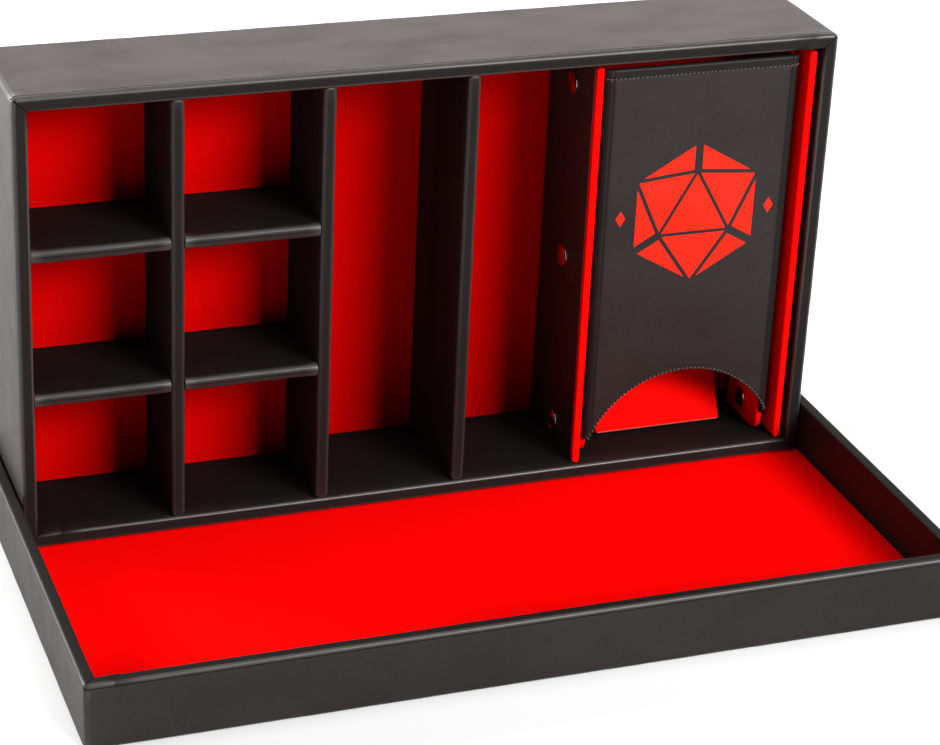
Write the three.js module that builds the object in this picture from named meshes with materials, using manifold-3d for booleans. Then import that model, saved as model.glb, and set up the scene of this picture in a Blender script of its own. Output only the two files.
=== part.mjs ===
// A dice storage chest: a wrapped box with compartments, standing on its long side in its lift-off lid,
// with a fold-up dice tower in the right-hand bay. Millimetres, +Z up, the viewer on the -Y side.
// The origin lies in the middle of the lid's underside.
import * as THREE from 'three';
import { mergeVertices } from 'three/addons/utils/BufferGeometryUtils.js';
import Module from 'manifold-3d';

const wasm = await Module();
wasm.setup();

// Fits shared by all pieces.
const seatGap = 0.3; // between pieces that are glued, wrapped or rest on each other
const skinGap = 0.2; // between a board and the thin skin on its face
const mitreGap = 0.2; // taken off each end of a wall where two walls meet
const cutOverrun = 1; // how far a cutting solid runs past what it cuts

// The box, measured lying on its back: length along X, width up the page, depth from back to rim.
const chestLength = 356;
const chestWidth = 199.4;
const chestDepth = 62.3;
const chestWall = 6.3;
const chestBase = 3.8;
const rimRadius = 1.4;
const cornerRadius = 2.6;
const baseEdgeRadius = 1.4;
const feltThickness = 1;

// The lid under the box, used as a tray.
const trayWall = 5.4;
const trayFloor = 4.7;
const trayRimHeight = 22.7; // from the felt to the rim
const trayClearance = 0.9; // all round the box when the lid is on
const trayRimRadius = 1.3;

// The dividers and shelves that make the compartments.
const dividerBoard = 5.7;
const dividerNose = 2;
const dividerRecess = 0.8; // how far the dividers stay behind the rim
const binHeight = 58.1; // of the bottom and middle rows; the top row takes the rest
const longBayWidth = 56.1;
const towerBayWidth = 155.4; // the wide bay on the right; the two columns of bins share what is left
const deckThickness = 10.5; // the raised floor behind the six small bins
const lapClearance = 0.3; // round a board in the slot of the board it crosses

// The dice tower: a back and two sides, closed by a front with two flaps.
const towerWidth = 102;
const towerSideGap = 1.4; // from the right-hand side to the box wall
const towerRecess = 3; // of the sides' front edges behind the box's front plane
const towerHeadroom = 2.2; // over the sides, under the box's top wall
const panelBoard = 2.8;
const skin = 0.6;
const panelEdge = 0.9;
const sideNose = 2.4; // depth of the sides' front edges, where the lining is rolled over the full thickness
const sideNoseEdge = 0.5;
const rearFoldRadius = 3.6;
const frontFoldRadius = 4;
const foldThickness = 1.4;
const frontRecess = 3.5; // of the front's face behind the sides' front edges
const frontDrop = 2.4; // of the front's top edge below the sides' top edges
const frontLift = 8; // of the front's lower corners over the tower's underside
const snapSpace = 2; // between a side and the flap that is snapped to it
const flapLength = 31;
const flapCornerRadius = 5;
const skinMargin = 1.2; // a skin stays this far inside its board's outline
const archRise = 37.7; // of the arch's crown over the tower's underside
const archFlare = 0.9; // of the arch's circle past each side of the front, level with the tower's underside
const archOffset = 2; // of the arch's centre to the right of the tower's middle

// The ramp that leads the dice out through the arch.
const rampWidth = 61;
const rampThickness = 3;
const rampReach = 28; // from the tower's back to the ramp's foot
const rampAngle = THREE.MathUtils.degToRad(64);
const rampFootLift = 1.3; // of the upper face's lower edge over the tower's underside
const rampTapeHeight = 14;
const rampTapeSide = 2; // the tape stays this far inside the ramp's width on each side

// Snap fasteners: a cap with its socket on each side, a stud with its post on each flap.
const snapInset = 25; // from the sides' front edges
const snapFootHeight = 9.2; // of the lowest snap over the tower's underside
const snapHeadInset = 14.1; // of the highest snap below the sides' top edges
const capRadius = 5;
const capHeight = 0.9;
const socketRadius = 4.2;
const socketProud = 1;
const shankRadius = 2.9;
const cavityRadius = 2.3;
const cavityDepth = 3;
const flangeRadius = 3.8;
const flangeThickness = 0.5;
const studNeck = 1.6;
const studBulb = 1.85;
const studLength = 1.9;
const postRadius = 4.8;
const postHeight = 0.9;
const postShankRadius = 2.2;
const holeClearance = 0.3; // round a shank in its hole
const capSeat = 0.2; // between a cap, post or flange and the face under it

// How finely round forms are divided.
const arcSteps = 5;
const softSteps = 2; // of a soft board's corners and edges
const archSteps = 64;
const snapSides = 18;
const mergeTolerance = 1e-4;

// Sizes that follow from the ones above.
const chestInnerLength = chestLength - 2 * chestWall;
const chestInnerWidth = chestWidth - 2 * chestWall;
const binsLength = chestInnerLength - towerBayWidth - longBayWidth - 3 * dividerBoard;
const binWidth = binsLength / 2;
const trayInnerLength = chestLength + 2 * trayClearance;
const trayInnerWidth = chestWidth + 2 * trayClearance;
const trayLength = trayInnerLength + 2 * trayWall;
const trayWidth = trayInnerWidth + 2 * trayWall;
const trayFeltTop = trayFloor + seatGap + feltThickness;
const bayFloor = chestBase + seatGap + feltThickness;
const deckBottom = chestBase + seatGap;
const binFloor = deckBottom + deckThickness + seatGap + feltThickness;
const dividerTop = chestDepth - dividerRecess;
const chestBackY = trayInnerWidth / 2 - seatGap;
const chestFrontY = chestBackY - chestDepth;
const chestBottomZ = trayFeltTop + seatGap;

const panelThickness = panelBoard + skinGap + skin;
const towerHeight = chestInnerWidth - seatGap - towerHeadroom;
const towerDepth = chestDepth - bayFloor - seatGap - towerRecess;
const towerInnerWidth = towerWidth - 2 * panelThickness;
const towerBackFace = towerDepth - panelThickness; // the face that looks into the tower
const towerX = chestLength / 2 - chestWall - towerSideGap - towerWidth / 2;
const towerY = chestFrontY + towerRecess;
const towerZ = chestBottomZ + chestWall + seatGap;
const sideLength = towerDepth - rearFoldRadius - seatGap;
const backWidth = towerWidth - 2 * (rearFoldRadius + seatGap);
const frontWidth = towerInnerWidth - 2 * snapSpace; // over both flaps' outer faces
const flapHeight = towerHeight - frontDrop;
const frontHeight = flapHeight - frontLift;
const frontBoardWidth = frontWidth - 2 * (frontFoldRadius + seatGap);
const flapFront = frontRecess + frontFoldRadius + seatGap;
const archHalfSpan = frontWidth / 2 + archFlare;
const archRadius = (archHalfSpan ** 2 + archRise ** 2) / (2 * archRise);
const archDrop = archRadius - archRise; // of the arch's centre below the tower's underside
const snapSpan = towerHeight - snapFootHeight - snapHeadInset;
const rowShares = [0, 0.5, 1]; // of the snaps, from the lowest to the highest
const snapHeights = rowShares.map((share) => snapFootHeight + share * snapSpan);
const snapRows = ['low', 'middle', 'high'];

const axisX = new THREE.Vector3(1, 0, 0);
const axisY = new THREE.Vector3(0, 1, 0);
const axisZ = new THREE.Vector3(0, 0, 1);
const quarterTurn = Math.PI / 2;
const eighthTurn = Math.PI / 4;

// Materials.
function surface(color, roughness, metalness) {
  return new THREE.MeshStandardMaterial({ color, roughness, metalness });
}

const blackLeatherette = surface('#2b2827', 0.45, 0);
const blackLining = surface('#151112', 0.8, 0);
const redFelt = surface('#d80a08', 0.95, 0);
const redSuede = surface('#d01210', 0.85, 0);
const gunmetal = surface('#3a3738', 0.25, 1);

// Solid helpers.
function solidOf(geometry) {
  const bare = geometry.clone();
  bare.deleteAttribute('normal');
  bare.deleteAttribute('uv');
  const merged = mergeVertices(bare, mergeTolerance);
  const vertProperties = merged.attributes.position.array;
  const triVerts = new Uint32Array(merged.index.array);
  return new wasm.Manifold(new wasm.Mesh({ numProp: 3, vertProperties, triVerts }));
}

function geometryOf(solid) {
  const { vertProperties, triVerts, numProp } = solid.getMesh();
  const geometry = new THREE.BufferGeometry();
  geometry.setAttribute('position', new THREE.BufferAttribute(vertProperties, numProp));
  geometry.setIndex(new THREE.BufferAttribute(triVerts, 1));
  geometry.computeVertexNormals();
  return geometry;
}

function block(sizeX, sizeY, sizeZ, x = 0, y = 0, z = 0) {
  return new THREE.BoxGeometry(sizeX, sizeY, sizeZ).translate(x, y, z);
}

function extrude(shape, depth, steps = arcSteps) {
  return new THREE.ExtrudeGeometry(shape, { depth, bevelEnabled: false, curveSegments: steps });
}

// Turns a profile drawn in Y and Z and extruded towards the viewer's right: it runs along +X from 0.
function alongX(geometry) {
  return geometry.applyMatrix4(new THREE.Matrix4().makeBasis(axisY, axisZ, axisX));
}

// Turns an outline drawn in X and Z, as seen by the viewer, so that it runs from 0 back to depth in Y.
function alongY(geometry, depth) {
  const toFront = axisY.clone().negate();
  geometry.applyMatrix4(new THREE.Matrix4().makeBasis(axisX, axisZ, toFront));
  return geometry.translate(0, depth, 0);
}

function roundedRectangle(width, height, radius) {
  const x = width / 2 - radius;
  const y = height / 2 - radius;
  const shape = new THREE.Shape();
  shape.absarc(x, y, radius, 0, quarterTurn, false);
  shape.absarc(-x, y, radius, quarterTurn, 2 * quarterTurn, false);
  shape.absarc(-x, -y, radius, 2 * quarterTurn, 3 * quarterTurn, false);
  shape.absarc(x, -y, radius, 3 * quarterTurn, 4 * quarterTurn, false);
  shape.closePath();
  return shape;
}

// A board whose edges are softened all round, centred in X and Y, from 0 up to its thickness.
function softBoard(width, height, thickness, edge, corner) {
  const shape = roundedRectangle(width - 2 * edge, height - 2 * edge, corner);
  const options = {
    depth: thickness - 2 * edge,
    bevelThickness: edge,
    bevelSize: edge,
    bevelSegments: softSteps,
    curveSegments: softSteps,
  };
  return new THREE.ExtrudeGeometry(shape, options).translate(0, 0, edge);
}

function piece(name, geometry, material, x = 0, y = 0, z = 0) {
  const mesh = new THREE.Mesh(geometry, material);
  mesh.name = name;
  mesh.position.set(x, y, z);
  return mesh;
}

// Cases: four mitred walls round a base board, rim up, as both the box and the lid are made.
// A wall lies along X, its outer face at y = 0 and its foot at z = 0.
function mitredWall(length, height, thickness, rim) {
  const half = length / 2 - mitreGap;
  const plan = new THREE.Shape();
  plan.moveTo(thickness - half, -thickness);
  plan.lineTo(half - thickness, -thickness);
  plan.absarc(half - cornerRadius, -cornerRadius, cornerRadius, eighthTurn, quarterTurn, false);
  plan.absarc(cornerRadius - half, -cornerRadius, cornerRadius, quarterTurn, 3 * eighthTurn, false);
  plan.closePath();

  const section = new THREE.Shape();
  section.moveTo(-thickness, 0);
  section.lineTo(0, 0);
  section.absarc(-rim, height - rim, rim, 0, quarterTurn, false);
  section.absarc(rim - thickness, height - rim, rim, quarterTurn, 2 * quarterTurn, false);
  section.closePath();

  const bar = alongX(extrude(section, length)).translate(-length / 2, 0, 0);
  const slab = extrude(plan, height + cutOverrun);
  return geometryOf(solidOf(bar).intersect(solidOf(slab)));
}

// The base has rounded corners and a softened lower edge, and is flat where the walls stand on it.
function caseBase(length, width, thickness) {
  const spare = 2 * baseEdgeRadius;
  const whole = softBoard(length, width, thickness + spare, baseEdgeRadius, cornerRadius - baseEdgeRadius);
  const keep = block(length + cutOverrun, width + cutOverrun, thickness, 0, 0, thickness / 2);
  return geometryOf(solidOf(whole).intersect(solidOf(keep)));
}

// The walls near, far, left and right look towards -Y, +Y, -X and +X.
function makeCase(names, length, width, height, wall, base, rim) {
  const group = new THREE.Group();
  const wallHeight = height - base - seatGap;
  const places = [
    { name: names.near, run: length, x: 0, y: -width / 2, turn: 2 * quarterTurn },
    { name: names.far, run: length, x: 0, y: width / 2, turn: 0 },
    { name: names.left, run: width, x: -length / 2, y: 0, turn: quarterTurn },
    { name: names.right, run: width, x: length / 2, y: 0, turn: -quarterTurn },
  ];
  group.add(piece(names.base, caseBase(length, width, base), blackLeatherette));
  for (const { name, run, x, y, turn } of places) {
    const geometry = mitredWall(run, wallHeight, wall, rim);
    const mesh = piece(name, geometry, blackLeatherette, x, y, base + seatGap);
    mesh.rotation.z = turn;
    group.add(mesh);
  }
  return group;
}

function feltSheet(name, width, height, x, y, z) {
  const sheet = softBoard(width, height, feltThickness, feltThickness / 4, feltThickness);
  return piece(name, sheet, redFelt, x, y, z);
}

// The lid, rim up, with its felt.
function makeTray() {
  const names = {
    base: 'tray_floor_board',
    near: 'tray_wall_front',
    far: 'tray_wall_back',
    left: 'tray_wall_left',
    right: 'tray_wall_right',
  };
  const height = trayFeltTop + trayRimHeight;
  const group = makeCase(names, trayLength, trayWidth, height, trayWall, trayFloor, trayRimRadius);
  const feltLength = trayInnerLength - 2 * seatGap;
  const feltWidth = trayInnerWidth - 2 * seatGap;
  group.add(feltSheet('tray_felt', feltLength, feltWidth, 0, 0, trayFloor + seatGap));
  return group;
}

// Dividers and shelves: boards with a rounded nose at the rim and square back edges.
// A divider stands along Y and a shelf along X; each runs from foot to the divider height.
function nosedBoard(run, foot) {
  const half = dividerBoard / 2;
  const flat = half - dividerNose;
  const section = new THREE.Shape();
  section.moveTo(-half, foot);
  section.lineTo(half, foot);
  section.absarc(flat, dividerTop - dividerNose, dividerNose, 0, quarterTurn, false);
  section.absarc(-flat, dividerTop - dividerNose, dividerNose, quarterTurn, 2 * quarterTurn, false);
  section.closePath();
  return alongX(extrude(section, run)).translate(-run / 2, 0, 0);
}

// Half-lap joints, as in an egg crate: the slot takes the other board's thickness and its clearance.
function withSlots(board, places, from, to) {
  const width = dividerBoard + 2 * lapClearance;
  const height = to - from;
  let solid = solidOf(board);
  for (const place of places) {
    const slot = block(width, dividerBoard + cutOverrun, height, place, 0, from + height / 2);
    solid = solid.subtract(solidOf(slot));
  }
  return geometryOf(solid);
}

// The compartments, in the frame of the box lying on its back.
function makeCompartments() {
  const group = new THREE.Group();
  const left = -chestInnerLength / 2;
  const bottom = -chestInnerWidth / 2;
  const dividerX = [
    left + binWidth + dividerBoard / 2,
    left + 2 * binWidth + 3 * dividerBoard / 2,
    left + 2 * binWidth + longBayWidth + 5 * dividerBoard / 2,
  ];
  const shelfY = [
    bottom + binHeight + dividerBoard / 2,
    bottom + 2 * binHeight + 3 * dividerBoard / 2,
  ];
  const rightOfBins = dividerX[1] - dividerBoard / 2;
  const binsWidth = rightOfBins - left - 2 * seatGap;
  const binsMiddle = (rightOfBins + left) / 2;
  const boardRun = chestInnerWidth - 2 * seatGap;

  // The raised floor of the small bins and the felt on it.
  const deck = softBoard(binsWidth, boardRun, deckThickness, seatGap, seatGap);
  group.add(piece('bin_deck', deck, blackLining, binsMiddle, 0, deckBottom));
  group.add(feltSheet('bin_felt', binsWidth, boardRun, binsMiddle, 0, binFloor - feltThickness));

  // Felt behind the long bay and behind the wide bay that holds the tower.
  const bays = [
    { name: 'long_bay_felt', from: dividerX[1] + dividerBoard / 2, to: dividerX[2] - dividerBoard / 2 },
    { name: 'tower_bay_felt', from: dividerX[2] + dividerBoard / 2, to: -left },
  ];
  for (const { name, from, to } of bays) {
    const width = to - from - 2 * seatGap;
    group.add(feltSheet(name, width, boardRun, (from + to) / 2, 0, bayFloor - feltThickness));
  }

  // The first divider stands on the bins' felt and laps the shelves; the others reach the back board.
  const binFoot = binFloor + seatGap;
  const lapHeight = (binFoot + dividerTop) / 2;
  const slots = [binFoot - cutOverrun, lapHeight + lapClearance / 2];
  const lapped = withSlots(nosedBoard(boardRun, binFoot), shelfY, ...slots);
  const boards = [
    { name: 'divider_bins', geometry: lapped, x: dividerX[0] },
    { name: 'divider_long_bay_left', geometry: nosedBoard(boardRun, deckBottom), x: dividerX[1] },
    { name: 'divider_long_bay_right', geometry: nosedBoard(boardRun, deckBottom), x: dividerX[2] },
  ];
  for (const { name, geometry, x } of boards) {
    const mesh = piece(name, geometry, blackLeatherette, x);
    mesh.rotation.z = quarterTurn;
    group.add(mesh);
  }
  const shelfSlots = [lapHeight - lapClearance / 2, dividerTop + cutOverrun];
  ['shelf_lower', 'shelf_upper'].forEach((name, row) => {
    const board = nosedBoard(binsWidth, binFoot);
    const geometry = withSlots(board, [dividerX[0] - binsMiddle], ...shelfSlots);
    group.add(piece(name, geometry, blackLeatherette, binsMiddle, shelfY[row]));
  });
  return group;
}

// The box stands on its long side, its rim towards the viewer.
function makeChest() {
  const names = {
    base: 'chest_back_board',
    near: 'chest_wall_bottom',
    far: 'chest_wall_top',
    left: 'chest_wall_left',
    right: 'chest_wall_right',
  };
  const group = makeCase(names, chestLength, chestWidth, chestDepth, chestWall, chestBase, rimRadius);
  group.add(makeCompartments());
  group.rotation.x = quarterTurn;
  group.position.set(0, chestBackY, chestBottomZ + chestWidth / 2);
  return group;
}

// Snap fasteners are turned about their own axis, +Z outwards from the face that they sit on.
function turned(profile) {
  const points = profile.map(([radius, z]) => new THREE.Vector2(radius, z));
  return new THREE.LatheGeometry(points, snapSides).rotateX(quarterTurn);
}

// Shares of a dome's radius and height, from its edge to its top.
const domeShares = [[1, 0], [1, 0.35], [0.86, 0.72], [0.5, 0.95], [0, 1]];

function dome(radius, height, foot) {
  return domeShares.map(([across, up]) => [radius * across, foot + height * up]);
}

// The cap lies on the side's outer face; its shank widens to the socket on the inner face.
function capGeometry() {
  const innerFace = -panelThickness;
  const mouth = innerFace - socketProud;
  return turned([
    [0, mouth + cavityDepth],
    [cavityRadius, mouth + cavityDepth],
    [cavityRadius, mouth],
    [socketRadius, mouth],
    [socketRadius, innerFace - capSeat],
    [shankRadius, innerFace - capSeat],
    [shankRadius, capSeat],
    ...dome(capRadius, capHeight, capSeat),
  ]);
}

// The stud stands on the flap's outer face and enters the socket; the post closes the inner face.
function studGeometry() {
  const flangeTop = capSeat + flangeThickness;
  const tip = flangeTop + studLength;
  const innerFace = -panelThickness - capSeat;
  const post = dome(postRadius, -postHeight, innerFace).reverse();
  return turned([
    ...post,
    [postShankRadius, innerFace],
    [postShankRadius, capSeat],
    [flangeRadius, capSeat],
    [flangeRadius, flangeTop],
    [studNeck, flangeTop],
    [studNeck, flangeTop + studLength / 3],
    [studBulb, flangeTop + 2 * studLength / 3],
    [studNeck / 2, tip],
    [0, tip],
  ]);
}

// A panel that stands along Y with its faces towards -X and +X, from 0 to its thickness in X.
function sidePanel(length, height, thickness, edge) {
  const board = softBoard(length, height, thickness, edge, edge);
  return alongX(board).translate(0, length / 2, height / 2);
}

function drilled(geometry, radius, y, heights) {
  let solid = solidOf(geometry);
  for (const z of heights) {
    const drill = new THREE.CylinderGeometry(radius, radius, towerWidth, snapSides);
    solid = solid.subtract(solidOf(drill.rotateZ(quarterTurn).translate(0, y, z)));
  }
  return geometryOf(solid);
}

// The two sides are mirror images; hand is -1 on the left and 1 on the right.
function makeSide(side, hand) {
  const group = new THREE.Group();
  const hole = shankRadius + holeClearance;
  const panel = sidePanel(sideLength, towerHeight, panelBoard, panelEdge);
  const nose = sidePanel(sideNose, towerHeight, panelThickness, sideNoseEdge);
  const inner = hand > 0 ? 0 : panelBoard - panelThickness;
  const lined = geometryOf(solidOf(panel).add(solidOf(nose.translate(inner, 0, 0))));
  const board = drilled(lined, hole, snapInset, snapHeights);
  const boardX = hand * (towerWidth / 2 - skin - skinGap) - (hand > 0 ? panelBoard : 0);
  group.add(piece(`tower_${side}_board`, board, redSuede, boardX));

  const skinFront = sideNose + seatGap;
  const skinHeight = towerHeight - 2 * skinMargin;
  const skinHoles = snapHeights.map((z) => z - skinMargin);
  const sheet = sidePanel(sideLength - skinFront, skinHeight, skin, skin / 4);
  const cover = drilled(sheet, hole, snapInset - skinFront, skinHoles);
  const coverX = hand * towerWidth / 2 - (hand > 0 ? skin : 0);
  group.add(piece(`tower_${side}_cover`, cover, blackLeatherette, coverX, skinFront, skinMargin));

  snapHeights.forEach((z, row) => {
    const x = hand * towerWidth / 2;
    const cap = piece(`snap_cap_${side}_${snapRows[row]}`, capGeometry(), gunmetal, x, snapInset, z);
    cap.rotation.y = hand * quarterTurn;
    group.add(cap);
  });
  return group;
}

// Each flap is folded back from the front and lies inside the side that it is snapped to.
function makeFlap(side, hand) {
  const group = new THREE.Group();
  const hole = postShankRadius + holeClearance;
  const whole = solidOf(sidePanel(flapLength, flapHeight, panelBoard, panelEdge));
  const round = flapCornerRadius;
  const corner = alongX(extrude(cornerWaste(round), towerWidth)).translate(-towerWidth / 2, 0, 0);
  const flap = geometryOf(whole.subtract(solidOf(corner)));
  const snapY = snapInset - flapFront;
  const board = drilled(flap, hole, snapY, snapHeights);
  const outer = hand * frontWidth / 2;
  const boardX = outer - hand * (skin + skinGap) - (hand > 0 ? panelBoard : 0);
  group.add(piece(`flap_${side}_board`, board, redSuede, boardX));

  const skinLength = flapLength - skinMargin - round / 2;
  const skinHeight = flapHeight - 2 * round;
  const sheet = sidePanel(skinLength, skinHeight, skin, skin / 4);
  const skinHoles = snapHeights.map((z) => z - round);
  const cover = drilled(sheet, flangeRadius + holeClearance, snapY - round / 2, skinHoles);
  const coverX = outer - (hand > 0 ? skin : 0);
  group.add(piece(`flap_${side}_cover`, cover, blackLeatherette, coverX, round / 2, round));

  snapHeights.forEach((z, row) => {
    const stud = piece(`snap_stud_${side}_${snapRows[row]}`, studGeometry(), gunmetal, outer, snapY, z);
    stud.rotation.y = hand * quarterTurn;
    group.add(stud);
  });
  group.position.y = flapFront;
  return group;
}

// What is cut away to round off the lower front corner of a flap, drawn in Y and Z.
function cornerWaste(radius) {
  const shape = new THREE.Shape();
  shape.moveTo(-cutOverrun, -cutOverrun);
  shape.lineTo(radius, -cutOverrun);
  shape.lineTo(radius, 0);
  shape.absarc(radius, radius, radius, 3 * quarterTurn, 2 * quarterTurn, true);
  shape.lineTo(-cutOverrun, radius);
  shape.closePath();
  return shape;
}

// A quarter of a ring, the soft fold between two boards: it starts towards +X and ends towards +Y.
function foldStrip(radius, height) {
  const section = new THREE.Shape();
  section.absarc(0, 0, radius, 0, quarterTurn, false);
  section.absarc(0, 0, radius - foldThickness, quarterTurn, 0, true);
  section.closePath();
  return extrude(section, height);
}

// The front: a board with the arch cut out of its lower edge, its lining and its two folds.
function makeFront() {
  const group = new THREE.Group();
  const depth = frontRecess + panelThickness;
  const middleZ = frontLift + frontHeight / 2;
  const drum = new THREE.CylinderGeometry(archRadius, archRadius, towerDepth, archSteps);
  const arch = solidOf(drum.translate(archOffset, depth, -archDrop));

  const flat = softBoard(frontBoardWidth, frontHeight, panelBoard, panelEdge, panelEdge);
  const board = alongY(flat, panelBoard).translate(0, frontRecess, middleZ);
  group.add(piece('front_board', geometryOf(solidOf(board).subtract(arch)), blackLeatherette));

  const liningWidth = frontBoardWidth - 2 * skinMargin;
  const liningHeight = frontHeight - 2 * skinMargin;
  const lining = alongY(softBoard(liningWidth, liningHeight, skin, skin / 4, skin), skin);
  lining.translate(0, frontRecess + panelBoard + skinGap, middleZ);
  group.add(piece('front_lining', geometryOf(solidOf(lining).subtract(arch)), redSuede));

  const foldX = frontWidth / 2 - frontFoldRadius;
  const foldY = frontRecess + frontFoldRadius;
  const folds = [['left', 2 * quarterTurn, -foldX], ['right', 3 * quarterTurn, foldX]];
  for (const [side, turn, x] of folds) {
    const strip = foldStrip(frontFoldRadius, frontHeight).rotateZ(turn).translate(x, foldY, frontLift);
    group.add(piece(`front_fold_${side}`, geometryOf(solidOf(strip).subtract(arch)), blackLeatherette));
  }
  return group;
}

// The back: board, outer cover and the two folds that the sides swing on.
function makeBack() {
  const group = new THREE.Group();
  const flat = softBoard(backWidth, towerHeight, panelBoard, panelEdge, panelEdge);
  const board = alongY(flat, panelBoard);
  group.add(piece('tower_back_board', board, redSuede, 0, towerBackFace, towerHeight / 2));
  const cover = alongY(softBoard(backWidth, towerHeight - 2 * skinMargin, skin, skin / 4, skin), skin);
  group.add(piece('tower_back_cover', cover, blackLeatherette, 0, towerDepth - skin, towerHeight / 2));

  const foldX = towerWidth / 2 - rearFoldRadius;
  const foldY = towerDepth - rearFoldRadius;
  const folds = [['left', quarterTurn, -foldX], ['right', 0, foldX]];
  for (const [side, turn, x] of folds) {
    const strip = foldStrip(rearFoldRadius, towerHeight).rotateZ(turn);
    group.add(piece(`tower_fold_${side}`, strip, blackLeatherette, x, foldY));
  }
  return group;
}

// The ramp hangs from its tape on the back; its top end is cut upright to lie along the back board.
function makeRamp() {
  const group = new THREE.Group();
  const top = towerBackFace - seatGap;
  const foot = towerBackFace - rampReach;
  const topZ = rampFootLift + (top - foot) * Math.tan(rampAngle);
  const heelY = foot + rampThickness * Math.sin(rampAngle);
  const heelZ = rampFootLift - rampThickness * Math.cos(rampAngle);
  const section = new THREE.Shape();
  section.moveTo(foot, rampFootLift);
  section.lineTo(heelY, heelZ);
  section.lineTo(top, topZ - rampThickness / Math.cos(rampAngle));
  section.lineTo(top, topZ);
  section.closePath();
  const board = alongX(extrude(section, rampWidth));
  group.add(piece('ramp_board', board, redSuede, -rampWidth / 2));

  const tape = alongY(softBoard(rampWidth - 2 * rampTapeSide, rampTapeHeight, skin, skin / 4, skin), skin);
  const tapeZ = topZ + seatGap + rampTapeHeight / 2;
  group.add(piece('ramp_tape', tape, redSuede, 0, towerBackFace - skinGap - skin, tapeZ));
  return group;
}

function makeTower() {
  const group = new THREE.Group();
  group.add(makeBack(), makeSide('left', -1), makeSide('right', 1));
  group.add(makeFront(), makeFlap('left', -1), makeFlap('right', 1), makeRamp());
  group.position.set(towerX, towerY, towerZ);
  return group;
}

const diceChest = new THREE.Group();
diceChest.add(makeTray(), makeChest(), makeTower());

export default diceChest;
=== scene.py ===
"""Dresses the dice chest: wrapped leatherette, felt and suede linings, the folding tower, its stitching and
snaps, and the studio that it is shown in. Metres, +Z up, the viewer on the -Y side."""

import math

import bmesh
import bpy
import numpy as np
from bpy.props import FloatProperty, FloatVectorProperty, PointerProperty
from mathutils import Matrix, Vector, noise


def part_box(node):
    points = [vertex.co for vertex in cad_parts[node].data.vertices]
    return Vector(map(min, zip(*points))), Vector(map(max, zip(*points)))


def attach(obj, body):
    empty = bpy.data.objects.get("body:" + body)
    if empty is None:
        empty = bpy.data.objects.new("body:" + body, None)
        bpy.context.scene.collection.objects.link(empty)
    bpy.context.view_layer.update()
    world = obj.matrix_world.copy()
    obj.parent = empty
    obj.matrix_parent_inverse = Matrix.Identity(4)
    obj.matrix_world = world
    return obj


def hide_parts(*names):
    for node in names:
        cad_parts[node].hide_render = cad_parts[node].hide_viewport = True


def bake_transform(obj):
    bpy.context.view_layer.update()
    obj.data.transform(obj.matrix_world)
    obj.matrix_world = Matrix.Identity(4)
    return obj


bl_info = {
    "name": "Dice Chest",
    "version": (1, 0, 0),
    "blender": (4, 5, 0),
    "location": "View3D > Sidebar > Dice Chest",
    "description": "Wraps, lines and stitches a dice chest with its lid and folding tower",
    "category": "Object",
}

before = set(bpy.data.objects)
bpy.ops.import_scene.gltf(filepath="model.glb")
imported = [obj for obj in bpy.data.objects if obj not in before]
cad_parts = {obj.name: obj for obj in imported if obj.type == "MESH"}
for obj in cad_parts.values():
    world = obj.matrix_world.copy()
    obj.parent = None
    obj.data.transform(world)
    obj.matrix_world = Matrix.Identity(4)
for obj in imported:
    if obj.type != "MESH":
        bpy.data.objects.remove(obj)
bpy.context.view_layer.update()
MM = 0.001
QUARTER = math.pi / 2

TRAY_WALLS = [f"tray_wall_{side}" for side in ("front", "back", "left", "right")]
CHEST_WALLS = [f"chest_wall_{side}" for side in ("bottom", "top", "left", "right")]
ROWS = ("low", "middle", "high")
HANDS = {"left": -1, "right": 1}
SIDE_BODIES = {"left": "tower_left_side", "right": "tower"}


# Places that the frame gives.
class Box:
    """The lowest and highest corners of a node of the frame, or of several together."""

    def __init__(self, *nodes):
        lows, highs = zip(*(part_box(node) for node in nodes))
        self.lo, self.hi = Vector(np.min(lows, axis=0)), Vector(np.max(highs, axis=0))

    @property
    def mid(self):
        return (self.lo + self.hi) / 2

    @property
    def size(self):
        return self.hi - self.lo

    def side(self, hand):
        """The x of its left face for -1 and of its right one for 1."""
        return self.lo.x if hand < 0 else self.hi.x


# Sizes and colours that a user would change.
def tint(name, description, *default):
    """A colour, as its red, green and blue shares."""
    return FloatVectorProperty(
        name=name, description=description, subtype="COLOR", size=3, min=0, max=1, default=default)


def millimetres(name, description, low, high, default):
    """A length in metres, whose range and default are given in millimetres."""
    return FloatProperty(
        name=name, description=description, subtype="DISTANCE", unit="LENGTH",
        min=low * MM, max=high * MM, default=default * MM)


def watts(name, description, default):
    return FloatProperty(
        name=name, description=description, subtype="POWER", unit="POWER", min=0, max=500, default=default)


class DiceChestWrap(bpy.types.PropertyGroup):
    colour: tint("Leatherette", "Colour of the wrap on the box, lid and tower", 0.0186, 0.016, 0.0152)
    # Paler colour of ridges: partly rubbed wear, partly painted highlight.
    worn: tint("Worn edge", "Colour of the wrap where its edges are rubbed", 0.053, 0.049, 0.047)
    roughness: FloatProperty(
        name="Roughness", description="How matt the wrap is", subtype="FACTOR", min=0, max=1, default=0.46)
    grain: millimetres("Grain", "Width of one pebble of the grain", 0.2, 3, 0.9)
    waviness: millimetres("Waviness", "How far the hand-laid wrap leaves a true plane", 0, 0.5, 0.13)
    crease: millimetres(
        "Corner crease", "Depth of the creases where the wrap is tucked at the rim's corners", 0, 1, 0.4)


class DiceChestLining(bpy.types.PropertyGroup):
    felt: tint("Felt", "Colour of the felt in the lid and compartments", 0.97, 0.0004, 0.0004)
    # Painted shade: a darker copy of the felt for the compartments' backs, standing in for the shade that
    # falls there.
    shaded_felt: tint(
        "Compartment felt", "Colour of the felt at the backs of the compartments", 0.535, 0.0002, 0.0002)
    suede: tint("Suede", "Colour of the lining inside the tower", 0.84, 0.002, 0.0014)
    fibre: millimetres("Fibre", "Size of a tuft of fibres", 0.1, 2, 0.5)


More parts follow.
